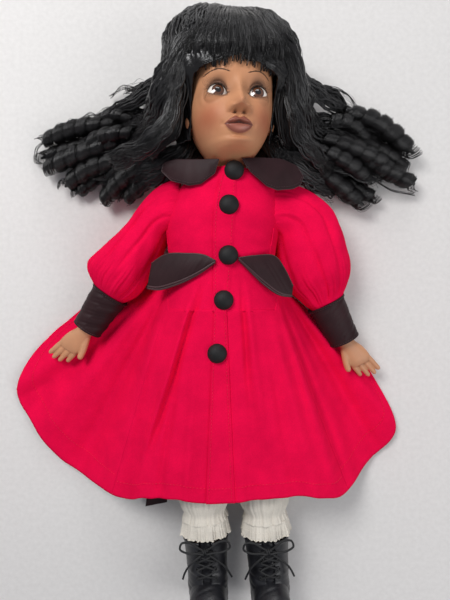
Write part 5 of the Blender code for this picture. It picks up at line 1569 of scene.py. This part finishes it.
def build_boots():
    """Laced boots: a shaft open down its front over a tongue, a foot with a toe cap, and a ridged sole."""
    for name, side in SIDES:
        leg = LEGS[name]
        body = "leg_" + name
        y = np.linspace(BOOT_BASE + 0.6, BOOT_BASE + 52.0, 80)
        half_x, half_z, mid = (through(-(y - BOOT_BASE), -BOOT[:, 0], BOOT[:, k]) for k in (1, 2, 3))
        gap = np.degrees(np.interp(y, [BOOT_BASE + 21.0, BOOT_BASE + 23.0, BOOT_BASE + 52.0],
                                   [0.05, 0.22, 0.27]))
        share = np.linspace(0.0, 1.0, 130)[None, :]
        angle = np.radians(gap[:, None] + (360.0 - 2.0 * gap[:, None]) * share)
        sag = (0.4 * ripple(y[:, None] * 0.35 + angle * 0.8, 270 + side, 4)
               * step(y, BOOT_BASE + 44.0, BOOT_BASE + 20.0)[:, None])
        roll = 0.5 * bell(y - BOOT_BASE - 51.2, 0.9)[:, None]
        local = np.stack([(half_x[:, None] + sag + roll) * np.sin(angle), y[:, None] + 0.0 * angle,
                          mid[:, None] + (half_z[:, None] + sag + roll) * np.cos(angle)], -1)
        shaft = Shape().add(leg.place(local))
        piece = add_piece("boot_shaft_" + name, shaft.build("boot_shaft_" + name), "leather", body,
                          ("boot_upper_" + name,))
        thicken(piece, 1.3)
        foot = Shape().add(leg.place(foot_grid()), closed=True)
        add_piece("boot_foot_" + name, foot.build("boot_foot_" + name, outward=True), "leather", body,
                  ("boot_upper_" + name,))
        seams = Shape()
        for inset in (4, 9):
            for column in (inset, -1 - inset):
                stitches(seams, leg.place(local[34:78, column] * np.array([1.004, 1.0, 1.01])), 1.0, 0.6,
                         0.16)
        back = local[:, 62:68].mean(1) * np.array([1.0, 1.0, 1.012])
        seams.add(leg.place(tube_grid(back, 0.4, 6)), closed=True)
        piece_name = "boot_seams_" + name
        add_piece(piece_name, seams.build(piece_name), "leather", body)
        eyelets = Shape()
        for y_at in EYELET_ROWS:
            for way in (-1, 1):
                ring = angles_round(20)
                ring = np.append(ring, ring[0])
                spot = np.array([way * 6.1, y_at, BOOT_FRONT - 1.4])
                loop = spot + np.stack([1.15 * np.cos(ring), 1.15 * np.sin(ring),
                                        -0.28 * way * np.cos(ring) * 1.6], -1)
                eyelets.add(leg.place(tube_grid(loop, 0.35, 8)), closed=True)
        piece_name = "boot_eyelets_" + name
        add_piece(piece_name, eyelets.build(piece_name), "rubber", body)
        y = np.linspace(-165.0, -134.2, 40)[:, None]
        u = np.linspace(-1.0, 1.0, 20)[None, :]
        tongue = np.stack([5.4 * u + 0.0 * y, y + 0.6 * (1.0 - u * u),
                           13.2 - 1.1 * u * u + 0.25 * ripple(y * 0.5 + u, 280, 3)], -1)
        shape = Shape().add(leg.place(tongue), flip=True)
        piece = add_piece("boot_tongue_leaf_" + name, shape.build("boot_tongue_leaf_" + name), "leather",
                          body,
                          ("boot_tongue_" + name,))
        thicken(piece, 1.2)
        build_sole(name, leg, body)


def build_sole(name, leg, body):
    """A sole whose outline follows the foot, with a raised heel behind and grooves across its underside."""
    t = np.linspace(0.0, 1.0, 60)
    z = -13.6 + 60.2 * (1.0 - np.cos(np.pi * t)) / 2.0
    share = (z + 13.6) / 60.2
    half = through(share, [0.0, 0.04, 0.2, 0.42, 0.7, 0.88, 0.97, 1.0],
                   [0.5, 6.0, 12.2, 11.4, 13.6, 11.6, 5.6, 0.5])
    u = np.linspace(-1.0, 1.0, 24)
    x = half[:, None] * u[None, :]
    arch = 1.3 * bell(share - 0.36, 0.08)[:, None]
    tread = 0.3 * (np.sin(z * 1.6) > 0.55)[:, None]
    top = np.stack([x, -187.3 + 0.0 * x, z[:, None] + 0.0 * x], -1)
    low = np.stack([x, -191.8 + arch + tread + 0.0 * x, z[:, None] + 0.0 * x], -1)
    welt = 1.0 + 0.03 * bell(np.linspace(0.0, 1.0, 12) - 0.35, 0.2)
    shape = Shape().add(leg.place(top)).add(leg.place(low), flip=True)
    for column in (0, -1):
        wall = (top[:, None, column] + (low[:, None, column] - top[:, None, column])
                * np.linspace(0.0, 1.0, 12)[None, :, None])
        wall = wall * np.stack([welt, 1.0 + 0.0 * welt, 1.0 + 0.0 * welt], -1)[None]
        wall[:, 0], wall[:, -1] = top[:, column], low[:, column]
        shape.add(leg.place(wall), flip=column == 0)
    piece_name = "boot_sole_block_" + name
    add_piece(piece_name, shape.build(piece_name, outward=True), "rubber", body,
              ("boot_sole_" + name,))


EYELET_ROWS = (-142.0, -148.0, -154.0, -160.0)
LACE = 0.7


def lace_piece(name, points, leg, body, node):
    """One length of round black lace, a cord that starts and ends at the boot."""
    path = leg.place(smooth_path(points, 140))
    shape = Shape().add(tube_grid(path, LACE, 10), closed=True)
    piece = add_piece(name, shape.build(name), "cord", body, (node,))


def build_laces():
    """Two crossed lengths up each boot's front and a bow of two loops and two tails over them."""
    for name, side in SIDES:
        leg = LEGS[name]
        body = "leg_" + name
        node = "boot_laces_" + name
        high = BOOT_FRONT + LACE + 0.2
        for way in (-1, 1):
            route = [(-way * 6.1, EYELET_ROWS[-1], BOOT_FRONT - 1.0)]
            sign = way
            for y_at in EYELET_ROWS[::-1][1:]:
                route += [(0.0, y_at - 3.0, high + (0.8 if way == sign else -0.7)),
                          (sign * 5.9, y_at, high - 0.7)]
                sign = -sign
            route.append((way * 0.8, -139.4, high + 0.3))
            lace_piece("boot_lacing_" + name + ("_a" if way < 0 else "_b"), route, leg, body, node)
        knot_y, knot_z = -139.0, 17.6
        for way, mark in ((-1, "_a"), (1, "_b")):
            bow = [(way * 0.4, knot_y + 0.2, knot_z), (way * 4.5, knot_y + 3.4, knot_z + 1.3),
                   (way * 10.0, knot_y + 7.2, knot_z + 1.5),
                   (way * 15.5, knot_y + 6.6, knot_z + 0.6), (way * 16.8, knot_y + 2.2, knot_z - 0.1),
                   (way * 12.0, knot_y - 0.4, knot_z + 0.5), (way * 5.0, knot_y - 0.9, knot_z + 0.9),
                   (way * 0.9, knot_y - 1.5, knot_z + 1.1)]
            lace_piece("bow_loop_" + name + mark, bow, leg, body, node)
            tail = [(way * 0.9, knot_y - 1.0, knot_z - 0.4), (way * 4.5, knot_y - 3.6, knot_z + 0.6),
                    (way * 8.5, knot_y - 7.0, knot_z + 0.2),
                    (way * 12.2, knot_y - 11.5, knot_z - 1.8), (way * 14.8, knot_y - 17.0, knot_z - 4.6),
                    (way * 17.0, knot_y - 24.0, knot_z - 9.0)]
            lace_piece("bow_tail_" + name + mark, tail, leg, body, node)
        knot = Shape()
        turn = np.linspace(0.0, 2.2 * TAU, 60)
        coil = np.stack([np.linspace(-1.5, 1.5, 60), knot_y + 1.25 * np.cos(turn),
                         knot_z + 0.2 + 1.25 * np.sin(turn)], -1)
        knot.add(leg.place(tube_grid(coil, LACE * 0.95, 10)), closed=True)
        piece_name = "bow_knot_" + name
        add_piece(piece_name, knot.build(piece_name), "cord", body)


# ------------------------------------------------------------------ CAD nodes left showing

NODE_FINISH = {
    "steel": "steel", "muslin": "muslin", "tie_cord": "tie", "pate_board": "board",
    "bisque_porcelain": "plain_porcelain", "ivory_cotton": "cotton", "ivory_lace": "lace",
    "red_velveteen": "velveteen", "black_satin": "satin", "black_hair": "hair", "eye_glass": "eye",
    "button_plastic": "button", "boot_leather": "leather", "boot_rubber": "rubber", "lace_cord": "cord",
}


def dress_nodes():
    """Gives each CAD node the finish of its slot, for those that stay in sight under the pieces."""
    for part in frame["record"]["subparts"]:
        node = bpy.data.objects.get(part["node"])
        if node is None or node.type != "MESH":
            continue
        node.data.materials.clear()
        node.data.materials.append(MATERIALS[NODE_FINISH[part["material_slot"]]])


# ------------------------------------------------------------------ stage

CAMERA_AT = (0.00775, 0.015925, 0.377)
CAMERA_LENS = 30.18


def make_camera():
    data = bpy.data.cameras.new("camera")
    data.sensor_fit = "AUTO"
    data.sensor_width = 36.0
    data.lens = CAMERA_LENS
    data.clip_start = 0.01
    camera = bpy.data.objects.new("camera", data)
    bpy.context.scene.collection.objects.link(camera)
    camera.location = CAMERA_AT
    bpy.context.scene.camera = camera


def make_lamp(name, at, size, power, colour=(1.0, 1.0, 1.0)):
    """A square soft lamp that faces the doll's chest."""
    data = bpy.data.lights.new(name, "AREA")
    data.shape = "SQUARE"
    data.size = size
    data.energy = power
    data.color = colour
    lamp = bpy.data.objects.new(name, data)
    bpy.context.scene.collection.objects.link(lamp)
    lamp.location = at
    lamp.rotation_euler = (Vector((0.0, 0.05, 0.03)) - Vector(at)).to_track_quat("-Z", "Y").to_euler()
    return lamp


def make_stage():
    bpy.ops.mesh.primitive_plane_add(size=3.0, location=(0.0, 0.0, -0.0005))
    floor = bpy.context.object
    floor.name = "floor"
    n = Nodes("floor", (0.7, 0.68, 0.66), 0.85)
    n.colour(n.ramp(n.noise(n.place_source(), 300.0), (0.67, 0.65, 0.63), (0.72, 0.7, 0.68)))
    floor.data.materials.append(n.material)
    lamps = [make_lamp("key_lamp", (-0.35, 0.45, 0.7), 0.35, 5.2),
             make_lamp("fill_lamp", (0.6, -0.25, 0.6), 0.6, 2.4),
             make_lamp("far_lamp", (0.1, 0.9, 0.35), 0.4, 1.8)]
    world_shade = bpy.data.worlds.new("world")
    world_shade.use_nodes = True
    world_shade.node_tree.nodes["Background"].inputs["Color"].default_value = (0.9, 0.92, 1.0, 1.0)
    world_shade.node_tree.nodes["Background"].inputs["Strength"].default_value = 0.36
    bpy.context.scene.world = world_shade
    bpy.context.scene.view_settings.view_transform = "Standard"
    make_camera()


# ------------------------------------------------------------------ add-on

class DOLL_PG_settings(bpy.types.PropertyGroup):
    """The doll's colours."""

    skin: bpy.props.FloatVectorProperty(name="Porcelain", subtype="COLOR", size=3, min=0.0, max=1.0,
                                        default=(0.56, 0.262, 0.132))
    coat: bpy.props.FloatVectorProperty(name="Coat", subtype="COLOR", size=3, min=0.0, max=1.0,
                                        default=(0.86, 0.004, 0.062))
    satin: bpy.props.FloatVectorProperty(name="Satin", subtype="COLOR", size=3, min=0.0, max=1.0,
                                         default=(0.03, 0.012, 0.014))
    cotton: bpy.props.FloatVectorProperty(name="Cotton", subtype="COLOR", size=3, min=0.0, max=1.0,
                                          default=(0.76, 0.71, 0.62))
    hair: bpy.props.FloatVectorProperty(name="Hair", subtype="COLOR", size=3, min=0.0, max=1.0,
                                        default=(0.003, 0.0026, 0.0028))
    iris: bpy.props.FloatVectorProperty(name="Iris", subtype="COLOR", size=3, min=0.0, max=1.0,
                                        default=(0.13, 0.048, 0.022))


class DollStep:
    """Shared parts of the add-on's operators."""

    bl_options = {"REGISTER", "UNDO"}

    def run(self, *steps):
        for build in steps:
            build()
        return {"FINISHED"}


class DOLL_OT_materials(DollStep, bpy.types.Operator):
    """Make every finish and dress the CAD nodes that stay in sight"""

    bl_idname = "doll.materials"
    bl_label = "Materials"

    def execute(self, context):
        make_materials(context.scene.doll_settings)
        return self.run(dress_nodes)


class DOLL_OT_head(DollStep, bpy.types.Operator):
    """Build the porcelain head with its eyes, lashes and brows"""

    bl_idname = "doll.head"
    bl_label = "Head"

    def execute(self, context):
        colours = context.scene.doll_settings
        build_head(colours)
        build_eyes(colours)
        return self.run(build_lashes, build_brows)


class DOLL_OT_wig(DollStep, bpy.types.Operator):
    """Build the wig: cap, combed locks, fringe and ringlets"""

    bl_idname = "doll.wig"
    bl_label = "Wig"

    def execute(self, context):
        return self.run(build_wig_cap, build_crown_locks, build_falls, build_tresses)

class DOLL_OT_coat(DollStep, bpy.types.Operator):
    """Build the coat's bodice, sleeves, cuffs, collar, waist tabs and buttons"""

    bl_idname = "doll.coat"
    bl_label = "Coat"

    def execute(self, context):
        return self.run(build_bodice, build_sleeves, build_cuffs, build_collar, build_tabs, build_buttons)


class DOLL_OT_skirt(DollStep, bpy.types.Operator):
    """Build the coat's skirt, its lining and the sash's tail"""

    bl_idname = "doll.skirt"
    bl_label = "Skirt"

    def execute(self, context):
        return self.run(build_skirt)


class DOLL_OT_body(DollStep, bpy.types.Operator):
    """Build the stuffed body and the porcelain hands"""

    bl_idname = "doll.body"
    bl_label = "Body and Hands"

    def execute(self, context):
        return self.run(build_body, build_hands)


class DOLL_OT_legs(DollStep, bpy.types.Operator):
    """Build the bloomers, boots and laces"""

    bl_idname = "doll.legs"
    bl_label = "Bloomers and Boots"

    def execute(self, context):
        return self.run(build_bloomers, build_boots, build_laces)


class DOLL_OT_stage(DollStep, bpy.types.Operator):
    """Set up the floor, lamps and camera"""

    bl_idname = "doll.stage"
    bl_label = "Stage"

    def execute(self, context):
        return self.run(make_stage)


STEPS = (DOLL_OT_materials, DOLL_OT_head, DOLL_OT_wig, DOLL_OT_coat, DOLL_OT_skirt, DOLL_OT_body,
         DOLL_OT_legs, DOLL_OT_stage)


class DOLL_PT_panel(bpy.types.Panel):
    """Colours and build steps of the doll"""

    bl_label = "Porcelain Doll"
    bl_idname = "DOLL_PT_panel"
    bl_space_type = "VIEW_3D"
    bl_region_type = "UI"
    bl_category = "Doll"

    def draw(self, context):
        for name in ("skin", "coat", "satin", "cotton", "hair", "iris"):
            self.layout.prop(context.scene.doll_settings, name)
        for operator in STEPS:
            self.layout.operator(operator.bl_idname)


CLASSES = (DOLL_PG_settings, *STEPS, DOLL_PT_panel)


def register():
    for cls in CLASSES:
        bpy.utils.register_class(cls)
    bpy.types.Scene.doll_settings = bpy.props.PointerProperty(type=DOLL_PG_settings)


def unregister():
    del bpy.types.Scene.doll_settings
    for cls in reversed(CLASSES):
        bpy.utils.unregister_class(cls)


def main():
    """Builds the doll through its operators."""
    register()
    for operator in STEPS:
        group, name = operator.bl_idname.split(".")
        getattr(getattr(bpy.ops, group), name)()


if __name__ == "__main__":
    main()
